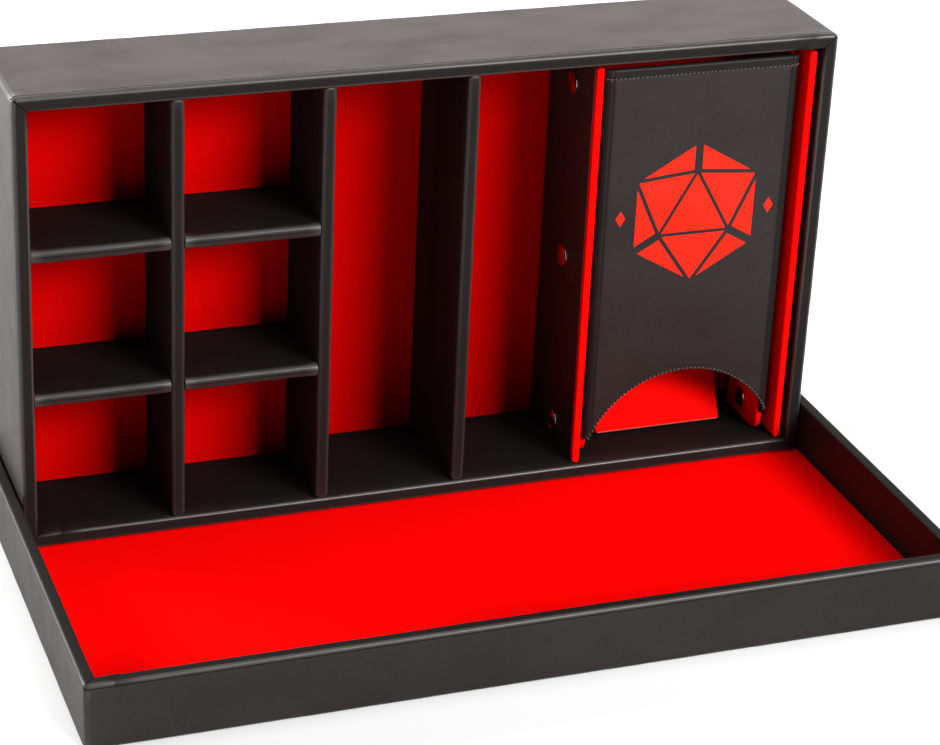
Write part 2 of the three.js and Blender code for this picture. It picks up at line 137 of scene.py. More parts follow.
class DiceChestTrim(bpy.types.PropertyGroup):
    pitch: millimetres("Stitch pitch", "From one stitch to the next", 1, 6, 1.95)
    thread: millimetres("Thread", "Thickness of the thread", 0.2, 1, 0.8)
    thread_colour: tint("Thread colour", "Colour of the stitches", 0.06, 0.056, 0.054)
    hem: millimetres("Hem", "Depth of the stitched hem along the front's top edge", 2, 10, 4.2)
    arch_margin: millimetres("Arch margin", "From the arch's edge to its stitching", 0.3, 5, 0.6)
    metal: tint("Metal", "Colour of the snaps", 0.42, 0.385, 0.39)


class DiceChestOrnament(bpy.types.PropertyGroup):
    size: millimetres("Ornament size", "Height of the printed die", 10, 80, 66)
    line: millimetres("Ornament line", "Gap between the printed facets", 0.5, 4, 1.6)
    colour: tint("Ornament colour", "Colour of the print", 0.9, 0.018, 0.007)


class DiceChestStudio(bpy.types.PropertyGroup):
    key: watts("Key light", "Power of the soft box on the right", 125)
    top: watts("Top light", "Power of the soft box overhead", 13)
    back: watts("Back light", "Power of the soft box behind, which draws the sheen on the top faces", 41)
    left: watts("Left light", "Power of the soft box behind on the left, for the box's left side", 155)
    fill: FloatProperty(
        name="Fill", description="Strength of the light from all around", min=0, max=2, default=0.01)


# Node trees.
def feed(tree, node, inputs):
    """Links or sets a node's inputs, each given by its number or by its name with _ for a space."""
    for key, value in inputs:
        socket = node.inputs[key.replace("_", " ") if isinstance(key, str) else key]
        source = getattr(value, "socket", value)
        if isinstance(source, bpy.types.NodeSocket):
            tree.links.new(source, socket)
        else:
            socket.default_value = source


def add_node(tree, kind, settings, inputs):
    """Adds a node: its settings first, then the values or links of its inputs."""
    node = tree.nodes.new(kind)
    for key, value in (settings or {}).items():
        setattr(node, key, value)
    feed(tree, node, inputs)
    return node


# Shader maths written as expressions.
class Socket:
    """One output of a material's node tree; sums, differences and products of values add the Math nodes."""

    def __init__(self, shader, socket):
        self.shader, self.socket = shader, socket

    def _math(self, operation, *values):
        return self.shader.node("ShaderNodeMath", {"operation": operation}, *values)

    def __add__(self, other):
        return self._math("ADD", self, other)

    def __rsub__(self, other):
        return self._math("SUBTRACT", other, self)

    def __mul__(self, other):
        return self._math("MULTIPLY", self, other)

    def ramp(self, low, high):
        """0 below low, 1 above high and smooth between them."""
        return self.shader.node("ShaderNodeMapRange", {"interpolation_type": "SMOOTHSTEP"}, self, low, high)


class Shader:
    """A new material with a Principled surface."""

    def __init__(self, name):
        self.material = bpy.data.materials.new(f"{name}_finish")
        self.material.use_nodes = True
        self.tree = self.material.node_tree
        self.place = self.node("ShaderNodeTexCoord", output="Object")

    def node(self, kind, settings=None, *values, output=0, **named):
        """An output of a new node, whose inputs are given in order or by name."""
        node = add_node(self.tree, kind, settings, [*enumerate(values), *named.items()])
        return Socket(self, node.outputs[output])

    def noise(self, size, detail=2.0, stretch=(1, 1, 1)):
        """Smooth noise from 0 to 1 whose blotches are about that size, in metres."""
        place = self.node("ShaderNodeMapping", None, self.place, Scale=stretch)
        return self.node("ShaderNodeTexNoise", None, Vector=place, Scale=1 / size, Detail=detail)

    def pebbles(self, width):
        """The grain's pebbles: lowest in the middle of each and highest in the creases between them."""
        return self.node("ShaderNodeTexVoronoi", {"feature": "SMOOTH_F1"}, Vector=self.place, Scale=1 / width,
                         Smoothness=0.6)

    def blend(self, share, first, second):
        """A colour between two, by a share."""
        mix = self.node("ShaderNodeMix", {"data_type": "RGBA"}, output=2)
        feed(self.tree, mix.socket.node, ((0, share), (6, first), (7, second)))
        return mix

    def shades(self, share, colour, dark, pale):
        """One colour between two of its shades, each given by a factor."""
        return self.blend(share, rgba(colour, dark), rgba(colour, pale))

    def bump(self, height, depth, strength, **under):
        """A normal from a height between 0 and 1 that stands for that depth, in metres."""
        return self.node("ShaderNodeBump", None, Height=height, Distance=depth, Strength=strength, **under)

    def finish(self, colour, rough, specular=0.5, **sockets):
        """Sets the surface's sockets, the rarer ones by name, and returns the material."""
        sockets.update(Base_Color=colour, Roughness=rough, Specular_IOR_Level=specular)
        feed(self.tree, self.tree.nodes["Principled BSDF"], sockets.items())
        return self.material


def rgba(colour, factor=1.0):
    return tuple(min(1.0, c * factor) for c in colour) + (1.0,)


def leatherette_finish(shader, wrap):
    """Fine-grained satin leatherette: soft pebbles, slow clouds of gloss, a faint unevenness underneath,
    edges made paler and glossier, partly as rubbed wear and partly as painted highlight, and painted shade:
    a far darker, duller wrap where points are marked inside, as in the compartments."""
    pebbles = shader.pebbles(wrap.grain)
    pores = shader.noise(wrap.grain / 3, 3.0)
    clouds = shader.noise(45 * MM, 3.0, (1, 1, 1.6))
    dents = shader.noise(12 * MM)
    smudges = shader.noise(30 * MM, 4.0, (1, 1.6, 1.6))
    worn, inside = (shader.node("ShaderNodeAttribute", {"attribute_name": mark}, output=2)
                    for mark in ("worn", "inside"))
    colour = shader.shades(clouds.ramp(0.3, 0.7), wrap.colour, 0.86, 1.16)
    colour = shader.blend(pebbles.ramp(0.35, 0.75) * 0.4, colour, rgba(wrap.colour, 0.6))
    # Painted shade: where inside is set, the colour falls to 0.15 of the wrap's own.
    colour = shader.blend(inside, colour, rgba(wrap.colour, 0.15))
    # Paler ridges: partly rubbed wear, partly painted highlight.
    colour = shader.blend(worn, colour, rgba(wrap.worn))
    matt = clouds.ramp(0.25, 0.75) * 0.03 + smudges.ramp(0.4, 0.75) * 0.06 + inside * 0.3
    soft = shader.bump(dents, 0.22 * MM, 0.55)
    grain = shader.bump(1.0 - pebbles + pores * 0.35, 0.08 * MM, 0.28, Normal=soft)
    return shader.finish(colour, matt + (wrap.roughness - 0.03), 0.125, Specular_Tint=(1.0, 0.92, 0.9, 1.0),
                         Normal=grain, Coat_Weight=worn, Coat_Roughness=0.3)


def felt_finish(shader, colour, fibre):
    """Short pile: matted tufts with stray fibres, a little darker between them."""
    tufts = shader.noise(fibre, 4.0)
    strands = shader.noise(fibre / 2, 2.0, (1, 0.25, 1))
    patches = shader.noise(30 * MM, 3.0)
    shade = shader.shades(tufts.ramp(0.3, 0.7), colour, 0.93, 1.04)
    shade = shader.blend(patches.ramp(0.35, 0.7) * 0.3, shade, rgba(colour, 0.94))
    normal = shader.bump(tufts + strands * 0.7, 0.2 * MM, 0.3)
    return shader.finish(shade, tufts * 0.06 + 0.9, 0.02, Normal=normal)


def suede_finish(shader, colour, fibre):
    """Brushed suede cloth: short nap that lies this way and that in soft patches."""
    nap = shader.noise(fibre * 0.7, 3.0, (1, 1, 0.5))
    brushed = shader.noise(14 * MM, 3.0, (1, 1, 0.6))
    shade = shader.shades(nap.ramp(0.3, 0.7), colour, 0.86, 1.08)
    shade = shader.blend(brushed.ramp(0.35, 0.7) * 0.5, shade, rgba(colour, 0.84))
    return shader.finish(shade, nap * 0.1 + 0.78, 0.02, Normal=shader.bump(nap, 0.16 * MM, 0.5))


def metal_finish(shader, colour):
    """Gunmetal plate with faint polishing marks."""
    marks = shader.noise(0.6 * MM, 2.0, (1, 1, 6))
    shade = shader.shades(marks, colour, 0.85, 1.15)
    return shader.finish(shade, marks * 0.1 + 0.09, Metallic=1.0, Normal=shader.bump(marks, 0.01 * MM, 0.4))


def thread_finish(shader, colour):
    """Waxed thread with a twist."""
    strands = shader.noise(0.25 * MM, 2.0, (1, 1, 0.3))
    shade = shader.shades(strands.ramp(0.35, 0.65), colour, 0.6, 1.4)
    return shader.finish(shade, strands * 0.2 + 0.5, 0.15, Normal=shader.bump(strands, 0.08 * MM, 0.6))


def print_finish(shader, colour, grain):
    """A printed film that lets the leatherette's grain show."""
    clouds = shader.noise(20 * MM)
    shade = shader.shades(clouds.ramp(0.3, 0.7), colour, 0.94, 1.04)
    normal = shader.bump(1.0 - shader.pebbles(grain), 0.08 * MM, 0.35)
    return shader.finish(shade, clouds * 0.06 + 0.5, 0.06, Normal=normal)


def board_finish(shader, colour):
    """Black paper-covered board."""
    pulp = shader.noise(1.2 * MM, 3.0)
    shade = shader.shades(pulp, colour, 0.8, 1.2)
    return shader.finish(shade, pulp * 0.1 + 0.75, Normal=shader.bump(pulp, 0.08 * MM, 0.4))


FINISHES = {
    "black_leatherette": lambda shader, s: leatherette_finish(shader, s.chest_wrap),
    "black_board": lambda shader, s: board_finish(shader, (0.02, 0.018, 0.018)),
    "red_felt": lambda shader, s: felt_finish(shader, s.chest_lining.felt, s.chest_lining.fibre),
    # Painted shade: the felt darkened for the compartments' backs.
    "shaded_felt": lambda shader, s: felt_finish(shader, s.chest_lining.shaded_felt, s.chest_lining.fibre),
    "red_suede": lambda shader, s: suede_finish(shader, s.chest_lining.suede, s.chest_lining.fibre),
    "gunmetal_snap": lambda shader, s: metal_finish(shader, s.chest_trim.metal),
    # Painted highlight: the pale pink roll along the ramp's foot.
    "cut_edge": lambda shader, s: thread_finish(shader, (0.5, 0.05, 0.035)),
    "thread": lambda shader, s: thread_finish(shader, s.chest_trim.thread_colour),
    "ornament_print": lambda shader, s: print_finish(shader, s.chest_ornament.colour, s.chest_wrap.grain),
}


def finish_named(name):
    """The material of that finish, made when it is first asked for."""
    return bpy.data.materials.get(f"{name}_finish") or FINISHES[name](Shader(name), bpy.context.scene)


# Meshes.
class Form:
    """Closed shells gathered into one mesh. Points are numpy rows in metres, in the frame's axes."""

    def __init__(self):
        self.points, self.faces, self.tucks = [], [], []

    def add(self, points):
        start = len(self.points)
        self.points.extend(map(tuple, points))
        return start

    def join(self, other):
        start = self.add(other.points)
        self.faces.extend(tuple(start + n for n in face) for face in other.faces)

    def band(self, a, b, count):
        """Joins two rings of as many points each."""
        for j in range(count):
            k = (j + 1) % count
            self.faces.append((a + j, a + k, b + k, b + j))

    def loft(self, rings):
        """Joins rings of as many points each and closes both ends."""
        starts = [self.add(ring) for ring in rings]
        count = len(rings[0])
        for a, b in zip(starts, starts[1:]):
            self.band(a, b, count)
        self.faces.append(tuple(range(starts[0], starts[0] + count))[::-1])
        self.faces.append(tuple(range(starts[-1], starts[-1] + count)))
        return starts

    def turned(self, profile, sides=32):
        """A closed solid of revolution about +Z, from a profile of radius and height that begins and ends at
        radius 0."""
        angles = [2 * math.pi * k / sides for k in range(sides)]
        first = self.add([(0, 0, profile[0][1])])
        rings = [self.add([(r * math.cos(a), r * math.sin(a), z) for a in angles]) for r, z in profile[1:-1]]
        last = self.add([(0, 0, profile[-1][1])])
        for a, b in zip(rings, rings[1:]):
            self.band(a, b, sides)
        for j in range(sides):
            k = (j + 1) % sides
            self.faces.append((first, rings[0] + k, rings[0] + j))
            self.faces.append((rings[-1] + j, rings[-1] + k, last))

    def slab(self, outer, inner):
        """A board between two grids of points of the same shape, with its edge faces."""
        a, b = (self.add(side.reshape(-1, 3)) for side in (outer, inner))
        index = np.arange(outer.shape[0] * outer.shape[1]).reshape(outer.shape[:2])
        quads = np.stack([index[:-1, :-1], index[:-1, 1:], index[1:, 1:], index[1:, :-1]], axis=-1)
        quads = quads.reshape(-1, 4)
        rim = np.concatenate([index[0], index[1:, -1], index[-1, -2::-1], index[-2:0:-1, 0]])
        after = np.roll(rim, -1)
        edge = np.stack([a + after, a + rim, b + rim, b + after], axis=-1)
        self.faces.extend(map(tuple, np.concatenate([quads + a, quads[:, ::-1] + b, edge]).tolist()))

    def mesh(self, name, waves=(0.0, 20 * MM), crease=0.0):
        """The mesh, faces outwards. Smooth noise of that height and width moves the points along their
        normals, and crease is the depth of the tucks."""
        mesh = bpy.data.meshes.new(name)
        mesh.from_pydata(self.points, [], self.faces)
        outwards(mesh)
        high, wide = waves
        if high or crease:
            tucked = dict(self.tucks)
            normals = [v.normal.copy() for v in mesh.vertices]
            for v, normal in zip(mesh.vertices, normals):
                shift = high * noise.noise(v.co / wide) + high / 2 * noise.noise(v.co * 3 / wide)
                v.co += normal * (shift + crease * tucked.get(v.index, 0.0))
        mesh.update()
        return mesh


def outwards(mesh):
    """Turns all faces of closed shells outwards."""
    shell = bmesh.new()
    shell.from_mesh(mesh)
    bmesh.ops.recalc_face_normals(shell, faces=shell.faces)
    shell.to_mesh(mesh)
    shell.free()
    mesh.update()


# Wear and painted highlight on ridges, and painted shade, which the leatherette's finish reads from each
# point.
def point_rows(mesh, field):
    """A field of three numbers of each point, as rows."""
    rows = np.empty(len(mesh.vertices) * 3)
    mesh.vertices.foreach_get(field, rows)
    return rows.reshape(-1, 3)


def bends(mesh, points, normals, reach):
    """How sharply the surface bends at each point, from 0 to 1: out as a ridge, and in as a crevice."""
    ends = np.empty(len(mesh.edges) * 2, int)
    mesh.edges.foreach_get("vertices", ends)
    a, b = ends.reshape(-1, 2).T
    span = points[b] - points[a]
    bend = ((normals[b] - normals[a]) * span).sum(1) / np.maximum((span ** 2).sum(1), 1e-12)
    total, most, hollow = np.zeros((3, len(points)))
    for end in (a, b):
        np.add.at(total, end, np.maximum(bend, 0))
        np.maximum.at(most, end, bend)
        np.maximum.at(hollow, end, -bend)
    crevice = np.clip(hollow * reach - 0.25, 0, 0.5) * 2
    beside = crevice.copy()
    np.maximum.at(beside, a, crevice[b])
    np.maximum.at(beside, b, crevice[a])
    ridge = np.clip((total - most) * reach - 0.25, 0, 0.4) / 0.4 * (1 - beside)
    return ridge, crevice


def chest_painted_shade(points, normals):
    """Painted shade on the compartments' walls and, three quarters as dark, on the front faces of the wrap
    that is turned in on the rim.
    """
    case, wall = Box(*CHEST_WALLS), Box("chest_wall_left").size.x
    deep = points[:, 1] - case.lo.y
    opening = np.abs(points[:, 0] - case.mid.x) < case.size.x / 2 - wall + 0.3 * MM
    opening &= np.abs(points[:, 2] - case.mid.z) < case.size.z / 2 - wall + 0.3 * MM
    opening &= deep < case.size.y - 3 * MM
    lined = np.where(opening, np.clip((deep - 1 * MM) / (2 * MM), 0, 1), 0)
    return np.maximum(lined, 0.75 * np.clip(-8 * normals[:, 1] - 7, 0, 1) * (deep < 1.2 * MM))


def tower_painted_shade(points, normals):
    """Painted shade on the front's folds and on its hem band."""
    folds = [Box(f"front_fold_{side}") for side in HANDS]
    beside = np.min([np.abs(points[:, 0] - fold.mid.x) for fold in folds], axis=0)
    hem = np.clip((points[:, 2] - folds[0].hi.z) / MM + 5.2, 0, 1)
    return np.maximum(np.clip(3.5 - beside / MM, 0, 1), hem) * 0.7


def tray_painted_shade(points, normals):
    """Painted shade on the top of the rim."""
    high = points[:, 2] > Box("tray_wall_front").hi.z - 1.2 * MM
    return 0.95 * np.clip(8 * normals[:, 2] - 7, 0, 1) * high


# Where each body's wrap is darkened with painted shade.
PAINTED_SHADE_PLACES = {"chest": chest_painted_shade, "tower": tower_painted_shade, "tray": tray_painted_shade}
# How strongly each body's ridges grow paler: partly rubbed wear, partly painted highlight.
RIDGE_WEAR_AND_HIGHLIGHT = {"chest": 0.5, "tray": 0.3}
FAINT_WEAR_AND_HIGHLIGHT = 0.12
DIVIDER_WEAR_AND_HIGHLIGHT = 0.15


def rub_edges(mesh, name, body):
    """Marks ridges for paler, glossier edges, partly rubbed wear and partly painted highlight, and marks as
    inside, for painted shade, what lies in a crevice, in the compartments or where the wrap is turned in."""
    points, normals = point_rows(mesh, "co"), point_rows(mesh, "normal")
    ridge, crevice = bends(mesh, points, normals, 1.1 * MM)
    worn = ridge * (DIVIDER_WEAR_AND_HIGHLIGHT if "divider" in name else RIDGE_WEAR_AND_HIGHLIGHT.get(body, FAINT_WEAR_AND_HIGHLIGHT))
    # On the tray only ridges facing the front grow paler, which is painted highlight.
    if body == "tray":
        worn *= np.clip(-4 * normals[:, 1], 0, 1)
    # Painted shade: crevices and each body's shaded places are marked inside.
    inside = np.maximum(PAINTED_SHADE_PLACES[body](points, normals), crevice) if body in PAINTED_SHADE_PLACES else crevice
    for mark, values in (("worn", worn), ("inside", inside)):
        mesh.attributes.new(mark, "FLOAT", "POINT").data.foreach_set("value", values.astype(np.float32))


def dressed(name, shape, finish, body=None, nodes=(), slot=None, sharp=0.6, **unevenness):
    """Makes the finished piece from a form or a mesh: smooth but for sharp edges, in its material, on its
    body, for its nodes."""
    mesh = shape.mesh(name, **unevenness) if isinstance(shape, Form) else shape
    piece = bpy.data.objects.new(name, mesh)
    bpy.context.scene.collection.objects.link(piece)
    mesh.materials.clear()
    mesh.materials.append(finish_named(finish))
    mesh.shade_smooth()
    mesh.set_sharp_from_angle(angle=sharp)
    if finish == "black_leatherette":
        rub_edges(mesh, name, body)
    if body:
        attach(piece, body)
    if nodes:
        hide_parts(*nodes)
    return piece


# Stations and outlines.
def spaced(low, high, step, *extra):
    """Stations from low to high, about step apart, with finer ones at the extra places."""
    count = max(1, round((high - low) / step))
    marks = set(np.linspace(low, high, count + 1)) | {e for e in extra if low < e < high}
    return np.array(sorted(marks))


def thinned(stations, least):
    """The stations without those that come closer than that behind the one before."""
    return stations[np.concatenate([[True], np.diff(stations) > least])]


def edge_stations(low, high, step, edge):
    """Stations that crowd within an edge's radius of both ends, to round it."""
    near = [edge * (1 - math.cos(QUARTER * k / 4)) for k in range(1, 5)]
    return spaced(low, high, step, *(low + n for n in near), *(high - n for n in near))


def shares(steps, span, edge):
    """Stations from 0 to 1 up a panel of that span, crowded within the edge's radius of both ends."""
    return edge_stations(0, span, span / steps, edge) / span


def grid(x, y, z):
    """Points from three coordinates, each a grid or one number."""
    return np.stack(np.broadcast_arrays(x, y, z), axis=-1)


def along(axes, x=0.0, y=0.0, z=0.0):
    """Places three coordinates from that point, each along the axis named for it, as in "+x +z -y"."""
    def place(*given):
        spot = {"x": x, "y": y, "z": z}
        for (sign, axis), value in zip(axes.split(), given):
            spot[axis] = spot[axis] + (value if sign == "+" else -value)
        return grid(**spot)
    return place


def circle(sides):
    """Even angles once round."""
    return np.linspace(0, 2 * math.pi, sides + 1)[:-1]


LAP = 9 * MM
LAP_HEIGHT = 0.45


def rounded_ring(half_u, half_v, radius, step_u, step_v, fan=8):
    """A rounded rectangle as (u, v, tuck), counter-clockwise; tuck is -1 on a corner's diagonal and
    above 0 on the short lap of wrap beside it."""
    ring = []
    for turn, (su, sv) in enumerate(((1, 1), (-1, 1), (-1, -1), (1, -1))):
        for k in range(fan + 1):
            angle = QUARTER * (turn + k / fan)
            ring.append((su * (half_u - radius) + radius * math.cos(angle),
                         sv * (half_v - radius) + radius * math.sin(angle), -1.0 if k == fan // 2 else 0.0))
        along_u = turn % 2 == 0
        length = 2 * ((half_u if along_u else half_v) - radius)
        stations = spaced(0, length, step_u if along_u else step_v, LAP, LAP + 0.5 * MM, length - LAP)[1:-1]
        u, v, _ = ring[-1]
        for s in stations:
            if along_u:
                ring.append((u - su * s, v, LAP_HEIGHT if s <= LAP + 1e-6 else 0.0))
            else:
                ring.append((u, v - sv * s, 0.0))
    return ring


def case_profile(depth, wall, rim, inner, floor):
    """The wrap's section as (inset, w): from under the base, up the outer wall with its glued seam, over the
    rim and down the inner wall to the floor."""
    foot = 1.4 * MM
    seam = depth - rim - 0.6 * MM
    turns = np.linspace(0, QUARTER, 7)
    profile = [(14 * MM, 0), (3 * MM, 0)]
    profile += [(foot * (1 - math.sin(a)), foot * (1 - math.cos(a))) for a in np.linspace(0, QUARTER, 5)]
    profile += [(0, w) for w in spaced(foot, seam - 0.3 * MM, 7 * MM, foot + 1 * MM, seam - 1.2 * MM)[1:]]
    profile += [(0.22 * MM, seam - 0.12 * MM), (0.24 * MM, seam + 0.12 * MM), (0.02 * MM, seam + 0.34 * MM)]
    profile += [(rim * (1 - math.cos(a)), depth - rim * (1 - math.sin(a))) for a in turns]
    profile += [(i, depth) for i in spaced(rim, wall - inner, 0.8 * MM)[1:-1]]
    profile += [(wall - inner * (1 - math.sin(a)), depth - inner * (1 - math.cos(a))) for a in turns]
    lip = depth - inner
    deep = spaced(floor, lip, 7 * MM, floor + 1 * MM, lip - 1 * MM, lip - 0.25 * MM)
    profile += [(wall, w) for w in deep[-2:0:-1]]
    return profile + [(wall, floor), (wall + 1 * MM, floor), (wall + 8 * MM, floor)]


def case_form(half_u, half_v, depth, wall, rim, inner, floor, place):
    """A wrapped case as one skin: its base, its outer walls, over the rim and down the inner walls to the
    floor. rim and inner are the radii of the rim's outer and inner edges, w runs from the base's outer face
    to the rim, and place turns (u, v, w) into the frame."""
    corner, least_radius = 2.6 * MM, 0.7 * MM
    counts = [max(8, round(2 * half / (5 * MM))) for half in (half_u, half_v)]
    rings, marks = [], []
    for inset, w in case_profile(depth, wall, rim, inner, floor):
        radius = max(corner - inset, least_radius)
        halves = (half_u - inset, half_v - inset)
        ring = rounded_ring(*halves, radius, *(2 * (half - radius) / n for half, n in zip(halves, counts)))
        rings.append([place(u, v, w) for u, v, _ in ring])
        on_rim = depth - 3 * MM < w and inset <= wall + 1e-9
        marks.append([tuck if on_rim else 0.0 for _, _, tuck in ring])
    form = Form()
    starts = form.loft(rings)
    form.tucks = [(s + j, t) for s, row in zip(starts, marks) for j, t in enumerate(row) if t]
    return form


def board_form(section, stations, place, edge):
    """A board with that section of (across, deep) points, run along the stations, its two ends eased."""
    centre, size = np.mean(section, axis=0), np.ptp(section, axis=0)
    eased = [(0, 0.0), (0.35, 0.6), (1, 1.0)]
    low, high = stations[0], stations[-1]
    near, gap = edge + 0.2 * MM, 0.1 * MM
    runs = [(low + edge * t, edge * (1 - s)) for t, s in eased] + [(low + near, 0.0)]
    runs += [(s, 0.0) for s in stations[1:-1] if low + near + gap < s < high - near - gap]
    runs += [(high - near, 0.0)] + [(high - edge * t, edge * (1 - s)) for t, s in reversed(eased)]
    form = Form()
    form.loft([[place(*(centre + (np.array(p) - centre) * (1 - 2 * shrink / size)), run) for p in section]
               for run, shrink in runs])
    return form


def nose_section(width, front, back, radius, steps=5):
    """The outline of a divider: square at the back, rounded at its front edge, across and deep."""
    half = width / 2
    left = [(-half + radius * (1 - math.cos(a)), front + radius * (1 - math.sin(a)))
            for a in np.linspace(0, QUARTER, steps + 1)]
    right = [(-x, y) for x, y in reversed(left)]
    flat = [(hand * (half - radius - 0.2 * MM), front) for hand in (-1, 1)]
    deep = [front + radius + 0.25 * MM] + [front + (back - front) * share for share in (0.12, 0.3, 0.6)]
    sides = [(-half, back)] + [(-half, d) for d in reversed(deep)] + left
    return sides + flat + right + [(half, d) for d in deep] + [(half, back)]


def border_distance(points, border):
    """The distance of each (u, v) point from a closed line through the border's points."""
    best = np.full(len(points), np.inf)
    for a, b in zip(border, np.roll(border, -1, axis=0)):
        span = b - a
        t = np.clip((points - a) @ span / max((span ** 2).sum(), 1e-18), 0, 1)
        best = np.minimum(best, np.hypot(*(points - a - t[:, None] * span).T))
    return best


def panel_form(across, low, high, up, thick, edge, place, relief=None):
    """A board drawn on a plan: across are its stations, low and high give its foot and head, as numbers or by
    station, and up its stations from 0 to 1. Edges are rounded on both faces, and relief adds to the outer
    face."""
    u = np.asarray(across)
    foot, head = (np.array([end(x) if callable(end) else end for x in u]) for end in (low, high))
    v = foot[None, :] + np.asarray(up)[:, None] * (head - foot)[None, :]
    grid_u = np.broadcast_to(u, v.shape)
    flat = np.stack([grid_u.ravel(), v.ravel()], axis=1)
    border = np.array([*zip(u, foot), *zip(u[::-1], head[::-1])])
    distance = border_distance(flat, border).reshape(v.shape)
    short = np.clip(edge - distance, 0, edge)
    drop = edge - np.sqrt(np.maximum(edge ** 2 - short ** 2, 0))
    raised = relief(grid_u, v, distance) if relief else 0.0
    form = Form()
    form.slab(place(grid_u, v, thick - drop + raised), place(grid_u, v, drop))
    return form


# The lid and the box.
def wrapped_case(name, body, nodes, form):
    wrap = bpy.context.scene.chest_wrap
    dressed(name, form, "black_leatherette", body, nodes, waves=(wrap.waviness, 20 * MM), crease=wrap.crease)


class DICECHEST_OT_tray(bpy.types.Operator):
    """Wrap the lid that serves as a tray"""
    bl_idname = "dicechest.wrap_tray"
    bl_label = "Wrap tray"

    def execute(self, context):
        nodes = [*TRAY_WALLS, "tray_floor_board"]
        box, wall = Box(*nodes), Box("tray_wall_left").size.x
        form = case_form(box.size.x / 2, box.size.y / 2, box.hi.z, wall, 1.5 * MM, 1.1 * MM,
                         Box("tray_felt").lo.z, along("+x +y +z", box.mid.x, box.mid.y))
        wrapped_case("tray_wrap", "tray", nodes, form)
        return {"FINISHED"}


class DICECHEST_OT_chest(bpy.types.Operator):
    """Wrap the box that stands in the tray"""
    bl_idname = "dicechest.wrap_chest"
    bl_label = "Wrap chest"

    def execute(self, context):
        nodes = [*CHEST_WALLS, "chest_back_board"]
        box, wall = Box(*nodes), Box("chest_wall_left").size.x
        place = along("+x +z -y", box.mid.x, box.hi.y, box.mid.z)
        form = case_form(box.size.x / 2, box.size.z / 2, box.size.y, wall, 2 * MM, 1.2 * MM,
                         box.hi.y - Box("tower_bay_felt").hi.y, place)
        wrapped_case("chest_wrap", "chest", nodes, form)
        return {"FINISHED"}


def divider_cover(name, levels):
    """A divider's wrap, up from the box's lower wall, with finer stations where the shelves meet it."""
    box, inside, wall = Box(name), Box(*CHEST_WALLS), Box("chest_wall_left").size.x
    back = box.hi.y + (0.25 if name == "divider_bins" else 0.2) * MM
    marks = [z + hand * t * MM for z in levels for hand in (-1, 1) for t in (3.2, 3.5)]
    stations = spaced(inside.lo.z + wall + 0.05 * MM, inside.hi.z - wall - 0.05 * MM, 6 * MM, *marks)
    section = nose_section(box.size.x, box.lo.y, back, 1.5 * MM)
    form = board_form(section, stations, along("+x +y +z", box.mid.x), 1.1 * MM)
    waviness = bpy.context.scene.chest_wrap.waviness * 1.3
    dressed(f"{name}_cover", form, "black_leatherette", "chest", [name], waves=(waviness, 16 * MM))


def shelf_cover(name, box):
    """A shelf's two halves, one on each side of the divider that it laps."""
    middle, start = Box("divider_bins"), Box(*CHEST_WALLS).lo.x + Box("chest_wall_left").size.x
    section = nose_section(box.size.z, box.lo.y, box.hi.y + 0.25 * MM, 2.3 * MM)
    form = Form()
    for low, high in ((start + 0.1 * MM, middle.lo.x - 0.05 * MM),
                      (middle.hi.x + 0.05 * MM, box.hi.x + 0.25 * MM)):
        form.join(board_form(section, spaced(low, high, 5 * MM), along("+z +y +x", z=box.mid.z), 0.3 * MM))
    waviness = bpy.context.scene.chest_wrap.waviness * 1.9
    dressed(f"{name}_cover", form, "black_leatherette", "chest", [name], waves=(waviness, 12 * MM))


class DICECHEST_OT_dividers(bpy.types.Operator):
    """Cover the dividers and shelves"""
    bl_idname = "dicechest.cover_dividers"
    bl_label = "Cover dividers"

    def execute(self, context):
        shelves = {name: Box(name) for name in ("shelf_lower", "shelf_upper")}
        for name in ("divider_bins", "divider_long_bay_left", "divider_long_bay_right"):
            divider_cover(name, [box.mid.z for box in shelves.values()])
        for name, box in shelves.items():
            shelf_cover(name, box)
        return {"FINISHED"}


def felt_sheet(name, body, finish):
    """A sheet that reaches a little under the wrap, flat in the tray and upright in the box."""
    box = Box(name)
    grow, edge = 0.22 * MM, 0.35 * MM
    flat = box.size.z < box.size.y
    half_u, half_v = box.size.x / 2 + grow, (box.size.y if flat else box.size.z) / 2 + grow
    place = along("+x +z -y", box.mid.x, box.hi.y, box.mid.z)
    if flat:
        place = along("+x +y +z", box.mid.x, box.mid.y, box.lo.z)
    up = shares(round(2 * half_v / (5 * MM)), 2 * half_v, edge)
    form = panel_form(edge_stations(-half_u, half_u, 5 * MM, edge), -half_v, half_v, up,
                      min(box.size.y, box.size.z), edge, place)
    dressed(f"{name}_sheet", form, finish, body, [name], "red_felt", waves=(0.05 * MM, 20 * MM))


class DICECHEST_OT_felts(bpy.types.Operator):
    """Lay the felt in the tray and in the compartments"""
    bl_idname = "dicechest.lay_felts"
    bl_label = "Lay felts"

    def execute(self, context):
        felt_sheet("tray_felt", "tray", "red_felt")
        # The compartments' backs take the darker felt, which is painted shade.
        for name in ("bin_felt", "long_bay_felt", "tower_bay_felt"):
            felt_sheet(name, "chest", "shaded_felt")
        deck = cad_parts["bin_deck"].data.materials
        deck.clear()
        deck.append(finish_named("black_board"))
        return {"FINISHED"}


# The tower.
def upright(x, hand, front):
    """Places a side panel: along from the front, up and out from its inner face."""
    return along("+y +z -x" if hand < 0 else "+y +z +x", x, front)


